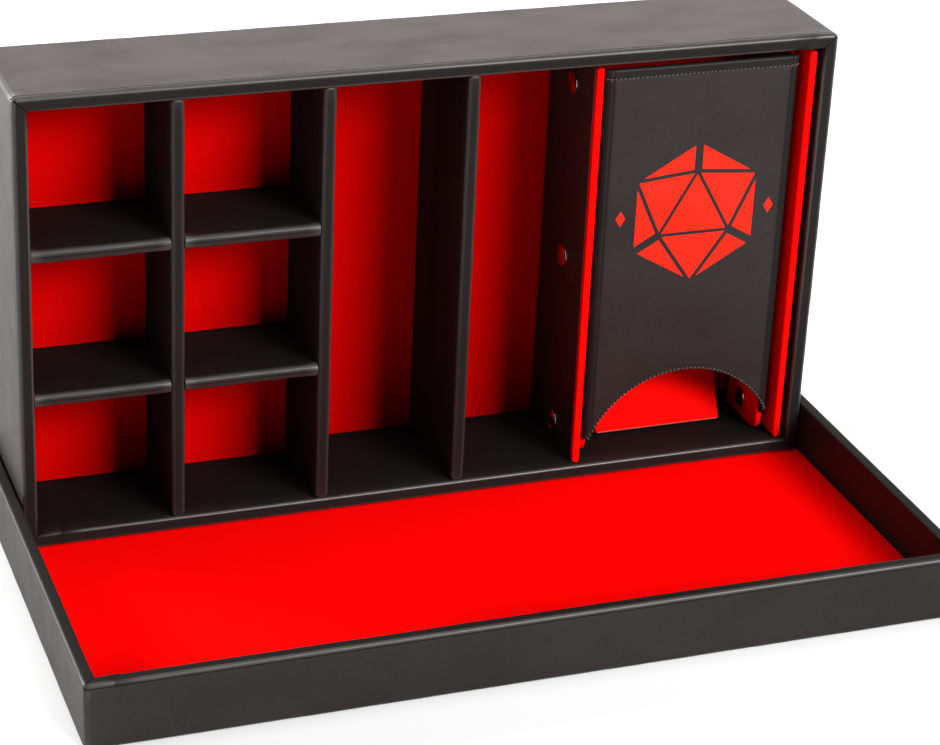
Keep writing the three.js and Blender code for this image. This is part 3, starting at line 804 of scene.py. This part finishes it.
def side_lining(side, hand):
    """A side's red lining, which rolls over the board's front edge as far as the wrap."""
    board = Box(f"tower_{side}_board")
    edge, turned_over, soft = 1.15 * MM, 0.68 * MM, 0.3 * MM
    roll = Box(f"tower_{side}_cover").lo.y - board.lo.y
    across = edge_stations(0, board.size.y, 4 * MM, edge)
    across = np.unique([*across, roll - 0.5 * MM, roll - 0.25 * MM, roll])

    def rolled(u, v, distance):
        return turned_over * np.clip((roll - 0.1 * MM - u) / soft, 0, 1) * np.clip(distance / soft, 0, 1)

    form = panel_form(across, board.lo.z, board.hi.z, shares(46, board.size.z, edge),
                      board.size.x - turned_over, edge, upright(board.side(-hand), hand, board.lo.y), rolled)
    dressed(f"tower_{side}_lining", form, "red_suede", SIDE_BODIES[side], [f"tower_{side}_board"],
            waves=(0.08 * MM, 30 * MM))


def back_lining():
    back = Box("tower_back_board")
    edge, spare = 0.8 * MM, 0.3 * MM
    across = edge_stations(back.lo.x - spare, back.hi.x + spare, 5 * MM, edge)
    form = panel_form(across, back.lo.z, back.hi.z, shares(40, back.size.z, edge), back.size.y + 0.12 * MM,
                      edge, along("+x +z +y", y=back.lo.y))
    dressed("tower_back_lining", form, "red_suede", "tower", ["tower_back_board"], waves=(0.08 * MM, 30 * MM))


def side_wrap(side, hand):
    """The black wrap: one sheet from a side round its fold, meeting the other one on the back."""
    back, cover, fold = Box("tower_back_cover"), Box(f"tower_{side}_cover"), Box(f"tower_fold_{side}")
    outer, rear, radius = cover.side(hand), back.hi.y, fold.size.y
    centre = Vector((outer - hand * radius, rear - radius))
    straight, arc = centre.y - cover.lo.y, radius * QUARTER
    foot, head = fold.lo.z + 0.3 * MM, fold.hi.z - 0.3 * MM
    thick, edge = 0.65 * MM, 0.3 * MM

    def place(u, v, n):
        reach = radius - (thick - n)
        turn = np.clip((u - straight) / arc, 0, 1) * QUARTER
        x = centre.x + hand * reach * np.cos(turn) - hand * np.maximum(u - straight - arc, 0)
        return grid(x, centre.y + reach * np.sin(turn) + np.minimum(u - straight, 0), v)

    across = spaced(0, straight + arc + abs(centre.x - back.mid.x), 4 * MM,
                    *np.linspace(straight, straight + arc, 11), 0.2 * MM, 0.5 * MM)
    form = panel_form(across, foot, head, shares(46, head - foot, edge), thick, edge, place)
    nodes = [f"tower_{side}_cover", f"tower_fold_{side}"]
    look = {"finish": "black_leatherette", "waves": (0.06 * MM, 30 * MM)}
    if hand < 0:
        piece = dressed("tower_left_wrap", form, nodes=[*nodes, "tower_back_cover"], **look)
        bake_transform(piece)
    else:
        dressed("tower_right_wrap", form, body="tower", nodes=nodes, **look)


class DICECHEST_OT_sides(bpy.types.Operator):
    """Line the tower's back and sides and wrap them on the outside"""
    bl_idname = "dicechest.line_sides"
    bl_label = "Line tower sides"

    def execute(self, context):
        for side, hand in HANDS.items():
            side_lining(side, hand)
        back_lining()
        for side, hand in HANDS.items():
            side_wrap(side, hand)
        return {"FINISHED"}


class Front:
    """The plan of the tower's front: from the end of one fold, across the face, to the end of the other."""

    def __init__(self):
        left, right, board = Box("front_fold_left"), Box("front_fold_right"), Box("front_board")
        self.face = board.lo.y
        self.radius = left.size.y
        self.left, self.right = left.lo.x, right.hi.x
        self.foot, self.head = left.lo.z, board.hi.z
        self.flat = self.right - self.left - 2 * self.radius
        self.arc = self.radius * QUARTER
        self.length = self.flat + 2 * self.arc
        half = (self.right - self.left) / 2 + 0.9 * MM
        rise = 37.7 * MM
        self.arch_radius = (half ** 2 + rise ** 2) / (2 * rise)
        self.arch_x = (self.left + self.right) / 2 + 2 * MM
        self.arch_z = Box("flap_left_board").lo.z + rise - self.arch_radius

    def plan(self, s, n):
        """The x and y of a point s along the outer face and n in from it."""
        s = np.asarray(s, float)
        first = np.clip(s / self.arc, 0, 1) * QUARTER
        last = np.clip((s - self.arc - self.flat) / self.arc, 0, 1) * QUARTER
        reach = self.radius - n
        ends = [s < self.arc, s > self.arc + self.flat]
        x = np.select(ends, [self.left + self.radius - reach * np.cos(first),
                             self.right - self.radius + reach * np.sin(last)],
                      self.left + self.radius + s - self.arc)
        y = np.select(ends, [self.face + self.radius - reach * np.sin(first),
                             self.face + self.radius - reach * np.cos(last)], self.face + n)
        return x, y

    def crown(self, x, margin, least):
        """The height of an arch that lies a margin outside the front's own, or the least height beside it."""
        rise = (self.arch_radius + margin) ** 2 - (x - self.arch_x) ** 2
        return max(least, self.arch_z + math.sqrt(max(rise, 0.0)))

    def arch(self, s):
        """The height of the front's lower edge at s."""
        return self.crown(self.plan(s, 0.0)[0], 0.0, self.foot)

    def place(self, thick):
        def put(u, v, n):
            return grid(*self.plan(u, thick - n), v)
        return put

    def stations(self):
        """Stations across the front, finer along the arch, round the folds and beside them."""
        turns = [self.arch_x - self.arch_radius * math.cos(a) - self.left - self.radius + self.arc
                 for a in np.linspace(0.2, math.pi - 0.2, 64)]
        fold = np.linspace(0, self.arc, 13)
        fine = [s for s in turns if self.arc < s < self.arc + self.flat] + [*fold, *(self.length - fold)]
        fine += [side + k * 0.25 * MM for side in (self.arc, self.length - self.arc) for k in range(-6, 7)]
        return thinned(spaced(0, self.length, 1.6 * MM, *fine), 0.05 * MM)

    def relief(self, hem, arch_margin):
        """The wrap's own relief: the hem and its seam, a puff along the arch and the fold lines."""
        def raised(u, v, distance):
            top = self.head - v
            seam = -0.22 * MM * bulge(top - hem, 0.45 * MM)
            band = 0.2 * MM * np.clip((hem - top) / (0.8 * MM), 0, 1)
            x, _ = self.plan(u, 0.0)
            arch = np.hypot(x - self.arch_x, v - self.arch_z) - self.arch_radius
            puff = 0.16 * MM * bulge(arch - arch_margin - 1.5 * MM, 0.8 * MM)
            beside = np.minimum(np.abs(u - self.arc), np.abs(u - self.length + self.arc))
            folds = -0.12 * MM * bulge(beside, 0.45 * MM)
            shade = np.minimum(1, distance / (0.6 * MM))
            return (seam + band * shade + puff + folds) * shade - 0.22 * MM
        return raised


def bulge(distance, width):
    """1 in the middle of a soft ridge and falling to 0 at its sides."""
    return np.exp(-(distance / width) ** 2)


def front_lining(front, inner):
    box = Box("front_lining")

    def low(x):
        return front.crown(x, 1.4 * MM, box.lo.z)

    across = spaced(box.lo.x - 0.6 * MM, box.hi.x + 0.6 * MM, 1.5 * MM)
    form = panel_form(across, low, box.hi.z, shares(60, box.size.z, 0.3 * MM), box.hi.y - inner, 0.25 * MM,
                      along("+x +z +y", y=inner))
    dressed("front_lining_sheet", form, "red_suede", "tower", ["front_lining"], waves=(0.04 * MM, 30 * MM))


class DICECHEST_OT_front(bpy.types.Operator):
    """Wrap the tower's front, with its arch and hem, and line its inner face"""
    bl_idname = "dicechest.wrap_front"
    bl_label = "Wrap front"

    def execute(self, context):
        trim = context.scene.chest_trim
        front = Front()
        edge, thick = 1.0 * MM, 3.0 * MM
        span = front.head - front.foot
        near_hem = [1 - trim.hem / span + k * 0.25 * MM / span for k in range(-5, 6)]
        up = sorted({*shares(110, span, edge), *(n for n in near_hem if n < 1)})
        form = panel_form(front.stations(), front.arch, front.head, up, thick, edge, front.place(thick),
                          front.relief(trim.hem, trim.arch_margin))
        dressed("front_wrap", form, "black_leatherette", "tower",
                ["front_board", "front_fold_left", "front_fold_right"], sharp=0.9, waves=(0.05 * MM, 30 * MM))
        front_lining(front, front.face + thick)
        return {"FINISHED"}


def flap_sheet(side, label, node, finish, start, thick, edge, margin):
    """One sheet of a flap, from the front's fold back to its rounded lower corner."""
    front, board = Front(), Box(f"flap_{side}_board")
    hinge = front.face + front.radius
    begin = hinge - 0.25 * MM
    length = board.hi.y - begin - margin
    top = board.hi.z - margin
    corner = 6 * MM
    across = spaced(0, length, 2 * MM, *np.linspace(0, 3 * MM, 13), *edge_stations(0, length, 2 * MM, edge))

    def foot(u):
        short = max(0.0, corner - max(u - margin, 0.0))
        return board.lo.z + corner - math.sqrt(corner ** 2 - short ** 2) + margin

    form = panel_form(thinned(across, 0.04 * MM), foot, top, shares(46, top - board.lo.z, edge), thick, edge,
                      upright(start, HANDS[side], begin))
    piece = dressed(f"flap_{side}_{label}_sheet", form, finish, None, [node], waves=(0.04 * MM, 30 * MM))
    outer = Box(f"flap_{side}_cover").side(HANDS[side])
    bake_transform(piece)


class DICECHEST_OT_flaps(bpy.types.Operator):
    """Line the two flaps that are folded back inside the tower's sides"""
    bl_idname = "dicechest.line_flaps"
    bl_label = "Line flaps"

    def execute(self, context):
        for side, hand in HANDS.items():
            board, cover = f"flap_{side}_board", f"flap_{side}_cover"
            inner, outer = Box(board).side(-hand), Box(cover).side(hand) - hand * 0.72 * MM
            flap_sheet(side, "lining", board, "red_suede", inner, 2.9 * MM, 0.9 * MM, 0.0)
            flap_sheet(side, "cover", cover, "black_leatherette", outer, 0.7 * MM, 0.3 * MM, 1.6 * MM)
        return {"FINISHED"}


def ramp_lining(box, slope, foot):
    thick, edge = 3 * MM, 0.8 * MM
    down = np.array((0, -math.cos(slope), -math.sin(slope)))
    up_face = np.array((0, -math.sin(slope), math.cos(slope)))
    start = Vector((0, box.hi.y, box.hi.z))
    length = (start.yz - foot).length

    def place(u, v, n):
        lift = n - thick + np.zeros_like(u)
        points = np.array(start) + (length - v)[..., None] * down + lift[..., None] * up_face
        points[..., 0] += u
        points[..., 1] = np.minimum(points[..., 1], box.hi.y)
        return points

    across = edge_stations(box.lo.x, box.hi.x, 4 * MM, edge)
    form = panel_form(across, 0.0, length, shares(24, length, edge), thick, edge, place)
    dressed("ramp_lining", form, "red_suede", "ramp", ["ramp_board"], waves=(0.05 * MM, 20 * MM))


def ramp_edge(box, foot):
    """A painted highlight: a fine pale roll along the ramp's foot."""
    y, z, radius = foot.x + 0.25 * MM, foot.y - 0.25 * MM, 0.3 * MM
    form = Form()
    form.loft([[(x, y + radius * math.cos(a), z + radius * math.sin(a)) for a in circle(8)]
               for x in spaced(box.lo.x + 0.8 * MM, box.hi.x - 0.8 * MM, 4 * MM)])
    dressed("ramp_edge", form, "cut_edge", "ramp", slot="red_suede", waves=(0.05 * MM, 10 * MM))


def ramp_tape(box, slope):
    """The tape, upright behind the tower's back and bent onto the ramp."""
    tape = Box("ramp_tape")
    rear, crease = tape.hi.y, box.hi.z + 1 * MM
    low, edge = crease - 3 * MM, 0.2 * MM

    def hang(u, v, n):
        past = np.clip(crease - v, 0, None)
        bend = np.clip(past / (2 * MM), 0, 1)
        z = np.where(past > 0, crease - past * (1 + (math.sin(slope) - 1) * bend), v)
        return grid(u, rear - n - bend * past * math.cos(slope), z + bend * 0.35 * MM)

    form = panel_form(edge_stations(tape.lo.x, tape.hi.x, 5 * MM, edge), low, tape.hi.z,
                      shares(30, tape.hi.z - low, edge), 0.55 * MM, edge, hang)
    piece = dressed("ramp_tape_sheet", form, "red_suede", None, ["ramp_tape"])
    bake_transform(piece)


class DICECHEST_OT_ramp(bpy.types.Operator):
    """Line the ramp and hang it from its tape"""
    bl_idname = "dicechest.line_ramp"
    bl_label = "Line ramp"

    def execute(self, context):
        box = Box("ramp_board")
        slope = math.radians(64)
        foot = Vector((box.lo.y, box.lo.z + 1.3 * MM))
        ramp_lining(box, slope, foot)
        ramp_edge(box, foot)
        ramp_tape(box, slope)
        return {"FINISHED"}


# What repeats: snaps and stitches.
class Tree:
    """A Geometry Nodes tree built step by step, with named inputs, that ends in Realize and Set Material."""

    def __init__(self, name, **inputs):
        self.tree = bpy.data.node_groups.new(name, "GeometryNodeTree")
        self.keys = {}
        for label, kind in {"Geometry": "Geometry", **inputs, "Material": "Material"}.items():
            socket = self.tree.interface.new_socket(label, in_out="INPUT", socket_type=f"NodeSocket{kind}")
            self.keys[label] = socket.identifier
        self.tree.interface.new_socket("Geometry", in_out="OUTPUT", socket_type="NodeSocketGeometry")
        self.inputs = self.tree.nodes.new("NodeGroupInput").outputs

    def node(self, kind, settings=None, output=0, **values):
        """An output of a new node, whose inputs are given by name."""
        return add_node(self.tree, kind, settings, values.items()).outputs[output]

    def end(self, instances):
        real = self.node("GeometryNodeRealizeInstances", Geometry=instances)
        dyed = self.node("GeometryNodeSetMaterial", Geometry=real, Material=self.inputs["Material"])
        add_node(self.tree, "NodeGroupOutput", None, [(0, dyed)])
        return self

    def run(self, name, mesh, **values):
        """The tree's result on a mesh, as a plain mesh."""
        carrier = bpy.data.objects.new(f"{name}_carrier", mesh)
        bpy.context.scene.collection.objects.link(carrier)
        modifier = carrier.modifiers.new("pattern", "NODES")
        modifier.node_group = self.tree
        for key, value in values.items():
            modifier[self.keys[key]] = value
        bpy.context.view_layer.update()
        depsgraph = bpy.context.evaluated_depsgraph_get()
        result = bpy.data.meshes.new_from_object(carrier.evaluated_get(depsgraph), depsgraph=depsgraph)
        result.name = name
        carrier.modifiers.remove(modifier)
        bpy.data.objects.remove(carrier)
        return result


def stitch_tree():
    """Repeats one stitch along a line, turned along it and leaning in the plane of the cloth."""
    tree = Tree("stitches_along_line", Stitch="Object", Pitch="Float", Lean="Float", Out="Vector")
    curve = tree.node("GeometryNodeMeshToCurve", Mesh=tree.inputs["Geometry"])
    points = tree.node("GeometryNodeCurveToPoints", {"mode": "LENGTH"}, Curve=curve,
                       Length=tree.inputs["Pitch"])
    tangent = points.node.outputs["Tangent"]
    ahead = tree.node("FunctionNodeAlignRotationToVector", {"axis": "X"}, Vector=tangent)
    facing = tree.node("FunctionNodeAlignRotationToVector", {"axis": "Z", "pivot_axis": "X"}, Rotation=ahead,
                       Vector=tree.inputs["Out"])
    lean = tree.node("ShaderNodeCombineXYZ", Z=tree.inputs["Lean"])
    tilt = tree.node("FunctionNodeEulerToRotation", Euler=lean)
    turned = tree.node("FunctionNodeRotateRotation", {"rotation_space": "LOCAL"}, Rotation=facing,
                       Rotate_By=tilt)
    stitch = tree.node("GeometryNodeObjectInfo", output="Geometry", Object=tree.inputs["Stitch"])
    return tree.end(tree.node("GeometryNodeInstanceOnPoints", Points=points, Instance=stitch,
                              Rotation=turned))


def snap_tree():
    """Repeats one snap at even steps up a panel."""
    tree = Tree("snaps_up_panel", Rows="Int", Start="Vector", Step="Vector")
    line = tree.node("GeometryNodeMeshLine", Count=tree.inputs["Rows"], Start_Location=tree.inputs["Start"],
                     Offset=tree.inputs["Step"])
    return tree.end(tree.node("GeometryNodeInstanceOnPoints", Points=line, Instance=tree.inputs["Geometry"]))


def arc_profile(radius, rise, foot, steps=6):
    """A dome from its edge to its top."""
    return [(radius * math.cos(a), foot + rise * math.sin(a)) for a in np.linspace(0, QUARTER, steps + 1)]


def cap_profile():
    """A snap's cap with its socket, in millimetres, from the cavity's floor round to the top of the dome."""
    inner, mouth = -3.6, -4.6
    socket = [(0, mouth + 3), (2.3, mouth + 3), (2.3, mouth + 0.3), (2.5, mouth), (3.7, mouth),
              (4.1, mouth + 0.3), (4.2, inner - 0.2), (2.9, inner - 0.2), (2.9, 0.1)]
    rim = [(4.9, 0.1), (5, 0.35), (4.95, 0.5), (4.75, 0.68), (4.5, 0.74), (4.2, 0.66), (4.0, 0.45)]
    return socket + rim + arc_profile(3.8, 0.7, 0.4)[1:-1] + [(0, 1.1)]


def stud_profile():
    """A snap's stud with its post, in millimetres, from the post's dome to the stud's tip."""
    inner = -3.8
    dome = arc_profile(4.7, -0.9, inner)[:-1]
    post = [(4.6, inner + 0.1), (2.2, inner + 0.1), (2.2, 0.1)]
    stud = [(3.7, 0.1), (3.8, 0.4), (3.5, 0.65), (1.7, 0.7), (1.6, 1.3), (1.85, 1.8), (1.7, 2.3), (1.1, 2.6)]
    return [(0, inner - 0.9)] + dome[::-1] + post + stud + [(0, 2.65)]


def snap_row(tree, kind, side, profile, carrier, body):
    """A row of snaps whose axis runs along X, from the outer face of the node that carries it."""
    nodes = [f"snap_{kind}_{side}_{row}" for row in ROWS]
    low, middle = Box(nodes[0]), Box(nodes[1])
    form = Form()
    form.turned([(r * MM, z * MM) for r, z in profile])
    turn = Matrix.Rotation(HANDS[side] * QUARTER, 4, "Y")
    form.points = [tuple(turn @ Vector(p)) for p in form.points]
    name = f"snap_{kind}s_{side}"
    mesh = tree.run(name, form.mesh(f"{name}_one"), Rows=len(ROWS), Material=finish_named("gunmetal_snap"),
                    Start=Vector((Box(carrier).side(HANDS[side]), low.mid.y, low.mid.z)),
                    Step=Vector((0, 0, middle.mid.z - low.mid.z)))
    dressed(name, mesh, "gunmetal_snap", body, nodes, sharp=1.0)


class DICECHEST_OT_snaps(bpy.types.Operator):
    """Set the snaps on the tower's sides and flaps"""
    bl_idname = "dicechest.set_snaps"
    bl_label = "Set snaps"

    def execute(self, context):
        tree = snap_tree()
        for side, body in SIDE_BODIES.items():
            snap_row(tree, "cap", side, cap_profile(), f"tower_{side}_cover", body)
        for side in HANDS:
            snap_row(tree, "stud", side, stud_profile(), f"flap_{side}_cover", f"flap_{side}")
        return {"FINISHED"}


def stitch_form(length, thickness):
    """One stitch: a short fat loop of thread whose ends dive into the cloth."""
    form = Form()
    rings = []
    for share in np.linspace(-1, 1, 7):
        girth = thickness / 2 * (0.55 + 0.45 * math.cos(share * QUARTER * 0.9))
        lift = thickness * 0.45 * math.cos(share * QUARTER) - thickness * 0.2
        rings.append([(share * length / 2, girth * math.cos(a), lift + girth * 0.9 * math.sin(a))
                      for a in circle(6)])
    form.loft(rings)
    return form


def line_mesh(name, points):
    mesh = bpy.data.meshes.new(name)
    mesh.from_pydata([tuple(p) for p in points], [(k, k + 1) for k in range(len(points) - 1)], [])
    return mesh


def hem_path(front, hem, sunk):
    """The line of the hem's stitches, from the middle of one fold to the middle of the other."""
    end = 0.45 * front.arc
    return [(*map(float, front.plan(s, sunk)), front.head - hem)
            for s in np.linspace(end, front.length - end, 200)]


def arch_path(front, margin, sunk):
    """The line of the arch's stitches, round the folds too and down to the front's foot."""
    radius = front.arch_radius + margin
    path = []
    for a in np.linspace(0, math.pi, 400):
        x, z = front.arch_x - radius * math.cos(a), front.arch_z + radius * math.sin(a)
        if front.left + 0.8 * MM < x < front.right - 0.8 * MM and z > front.foot + 0.6 * MM:
            bend = max(front.left + front.radius - x, x - front.right + front.radius, 0.0)
            path.append((x, front.face + sunk + front.radius - math.sqrt(front.radius ** 2 - bend ** 2), z))
    return path


class DICECHEST_OT_stitches(bpy.types.Operator):
    """Stitch the front's hem and the edge of its arch"""
    bl_idname = "dicechest.stitch_front"
    bl_label = "Stitch front"

    def execute(self, context):
        trim = context.scene.chest_trim
        front, tree, sunk = Front(), stitch_tree(), 0.24 * MM
        stitch = stitch_form(trim.pitch * 0.86, trim.thread).mesh("stitch_one")
        one = bpy.data.objects.new("stitch_one", stitch)
        context.scene.collection.objects.link(one)
        for name, path, lean in (("arch_stitches", arch_path(front, trim.arch_margin, sunk), 0.6),
                                 ("hem_stitches", hem_path(front, trim.hem, sunk), 0.12)):
            mesh = tree.run(name, line_mesh(f"{name}_line", path), Stitch=one, Pitch=trim.pitch, Lean=lean,
                            Out=Vector((0, -1, 0)), Material=finish_named("thread"))
            dressed(name, mesh, "thread", "tower", slot="black_leatherette", sharp=1.2)
        bpy.data.objects.remove(one)
        return {"FINISHED"}


def die_facets(size):
    """The die's ten visible faces, as it lies on one of them, and the two small diamonds beside it."""
    outer = [Vector((math.sin(a), math.cos(a))) * size / 2 for a in circle(6)]
    inner = [Vector((math.sin(a), math.cos(a))) * size * 0.29 for a in circle(3)]
    facets = [inner]
    for k, a in enumerate(inner):
        before, above, tip = (outer[(2 * k + turn) % 6] for turn in (-1, 0, 1))
        facets += [[a, inner[(k + 1) % 3], tip], [a, above, tip], [a, before, above]]
    for hand in (-1, 1):
        spot = Vector((hand * 0.53 * size, 0))
        facets.append([spot + Vector(p) * 0.06 * size for p in ((0, 1.3), (0.8, 0), (0, -1.3), (-0.8, 0))])
    return facets


class DICECHEST_OT_ornament(bpy.types.Operator):
    """Print a plain twenty-sided die on the front"""
    bl_idname = "dicechest.print_ornament"
    bl_label = "Print ornament"

    def execute(self, context):
        sizes = context.scene.chest_ornament
        front = Front()
        centre = Vector(((front.left + front.right) / 2 + 0.7 * MM, front.head - 68.2 * MM))
        form = Form()
        for facet in die_facets(sizes.size):
            middle = sum(facet, Vector((0, 0))) / len(facet)
            inradius = min(abs((b - a).cross(middle - a)) / (b - a).length
                           for a, b in zip(facet, facet[1:] + facet[:1]))
            shrink = max(0.3, 1 - sizes.line / 2 / inradius)
            rings = []
            for share, depth in ((1.0, 0.35 * MM), (1.0, 0.16 * MM), (0.985, 0.12 * MM)):
                spots = [centre + middle + (p - middle) * shrink * share for p in facet]
                rings.append([(q.x, front.face + depth, q.y) for q in spots])
            form.loft(rings)
        dressed("die_ornament", form, "ornament_print", "tower", slot="red_suede", sharp=0.3)
        return {"FINISHED"}


# The studio. Each lamp has its size, place, aim and colour.
LAMPS = {
    "key": ((1.35, 1.0), (1.2, -2.15, 1.4), (0, 0, 0.1), (1, 1, 1)),
    "top": ((1.3, 1.1), (0.0, -0.05, 1.9), (0, 0, 0), (1, 1, 1)),
    "back": ((3.6, 1.2), (0.75, 2.7, 1.3), (0, 0, 0.2), (1, 0.88, 0.86)),
    "left": ((1.0, 0.8), (-1.9, 1.6, 0.9), (-0.18, 0.07, 0.12), (1, 1, 1)),
}


def soft_box(name, power, size, spot, target, colour):
    light = bpy.data.lights.new(name, "AREA")
    light.color = colour
    light.shape = "RECTANGLE"
    light.energy = power
    light.size, light.size_y = size
    lamp = bpy.data.objects.new(name, light)
    lamp.location = spot
    lamp.rotation_euler = (Vector(target) - Vector(spot)).to_track_quat("-Z", "Y").to_euler()
    bpy.context.scene.collection.objects.link(lamp)


def lay_floor():
    mesh = bpy.data.meshes.new("floor")
    reach = 6.0
    corners = [(-reach, -reach, 0), (reach, -reach, 0), (reach, reach, 0), (-reach, reach, 0)]
    mesh.from_pydata(corners, [], [(0, 1, 2, 3)])
    floor = bpy.data.objects.new("floor", mesh)
    bpy.context.scene.collection.objects.link(floor)
    mesh.materials.append(Shader("floor_paper").finish((0.85, 0.85, 0.85, 1), 0.9, 0.1))


def surround(fill):
    """A world that is white to the camera and in reflections, and a faint light on the object."""
    world = bpy.data.worlds.new("studio")
    bpy.context.scene.world = world
    world.use_nodes = True
    tree = world.node_tree
    path = tree.nodes.new("ShaderNodeLightPath").outputs
    seen = add_node(tree, "ShaderNodeMath", {"operation": "MAXIMUM"},
                    [(0, path["Is Camera Ray"]), (1, path["Is Glossy Ray"])])
    level = add_node(tree, "ShaderNodeMapRange", None,
                     [("Value", seen.outputs[0]), ("To Min", fill), ("To Max", 1.0)])
    feed(tree, tree.nodes["Background"], [("Color", (1, 1, 1, 1)), ("Strength", level.outputs[0])])


def set_camera():
    """The photograph's view, from its fitted place and axes."""
    camera = bpy.data.cameras.new("camera")
    camera.sensor_fit = "HORIZONTAL"
    camera.sensor_width = 36.0
    camera.lens = 105.27
    camera.shift_x, camera.shift_y = 0.0307, -0.03626
    camera.clip_end = 50
    place = (-0.363427, -0.955921, 0.575197)
    right = Vector((0.94367336, -0.32859478, 0.03880799))
    down = Vector((-0.1055094, -0.41000326, -0.90596087))
    ahead = Vector((0.31360542, 0.85083653, -0.42157899))
    eye = bpy.data.objects.new("camera", camera)
    eye.matrix_world = Matrix.Translation(place) @ Matrix((right, -down, -ahead)).transposed().to_4x4()
    bpy.context.scene.collection.objects.link(eye)
    bpy.context.scene.camera = eye
    bpy.context.scene.view_settings.view_transform = "Standard"


class DICECHEST_OT_studio(bpy.types.Operator):
    """Set the floor, the soft lights and the camera"""
    bl_idname = "dicechest.set_studio"
    bl_label = "Set studio"

    def execute(self, context):
        studio = context.scene.chest_studio
        lay_floor()
        surround(studio.fill)
        for name, lamp in LAMPS.items():
            soft_box(name, getattr(studio, name), *lamp)
        set_camera()
        return {"FINISHED"}


OPERATORS = (
    DICECHEST_OT_tray, DICECHEST_OT_chest, DICECHEST_OT_dividers, DICECHEST_OT_felts, DICECHEST_OT_sides,
    DICECHEST_OT_front, DICECHEST_OT_flaps, DICECHEST_OT_ramp, DICECHEST_OT_snaps, DICECHEST_OT_stitches,
    DICECHEST_OT_ornament, DICECHEST_OT_studio,
)
GROUPS = {
    "chest_wrap": DiceChestWrap, "chest_lining": DiceChestLining, "chest_trim": DiceChestTrim,
    "chest_ornament": DiceChestOrnament, "chest_studio": DiceChestStudio,
}


class DICECHEST_PT_panel(bpy.types.Panel):
    """Lists the sizes, colours and steps of the dice chest"""
    bl_idname = "DICECHEST_PT_panel"
    bl_label = "Dice Chest"
    bl_space_type = "VIEW_3D"
    bl_region_type = "UI"
    bl_category = "Dice Chest"

    def draw(self, context):
        for name, group in GROUPS.items():
            box = self.layout.box()
            for key in group.__annotations__:
                box.prop(getattr(context.scene, name), key)
        for operator in OPERATORS:
            self.layout.operator(operator.bl_idname)


CLASSES = (*GROUPS.values(), *OPERATORS, DICECHEST_PT_panel)


def register():
    for kind in CLASSES:
        bpy.utils.register_class(kind)
    for name, group in GROUPS.items():
        setattr(bpy.types.Scene, name, PointerProperty(type=group))


def unregister():
    for name in GROUPS:
        delattr(bpy.types.Scene, name)
    for kind in reversed(CLASSES):
        bpy.utils.unregister_class(kind)


def main():
    register()
    for operator in OPERATORS:
        family, name = operator.bl_idname.split(".")
        getattr(getattr(bpy.ops, family), name)()


if __name__ == "__main__":
    main()
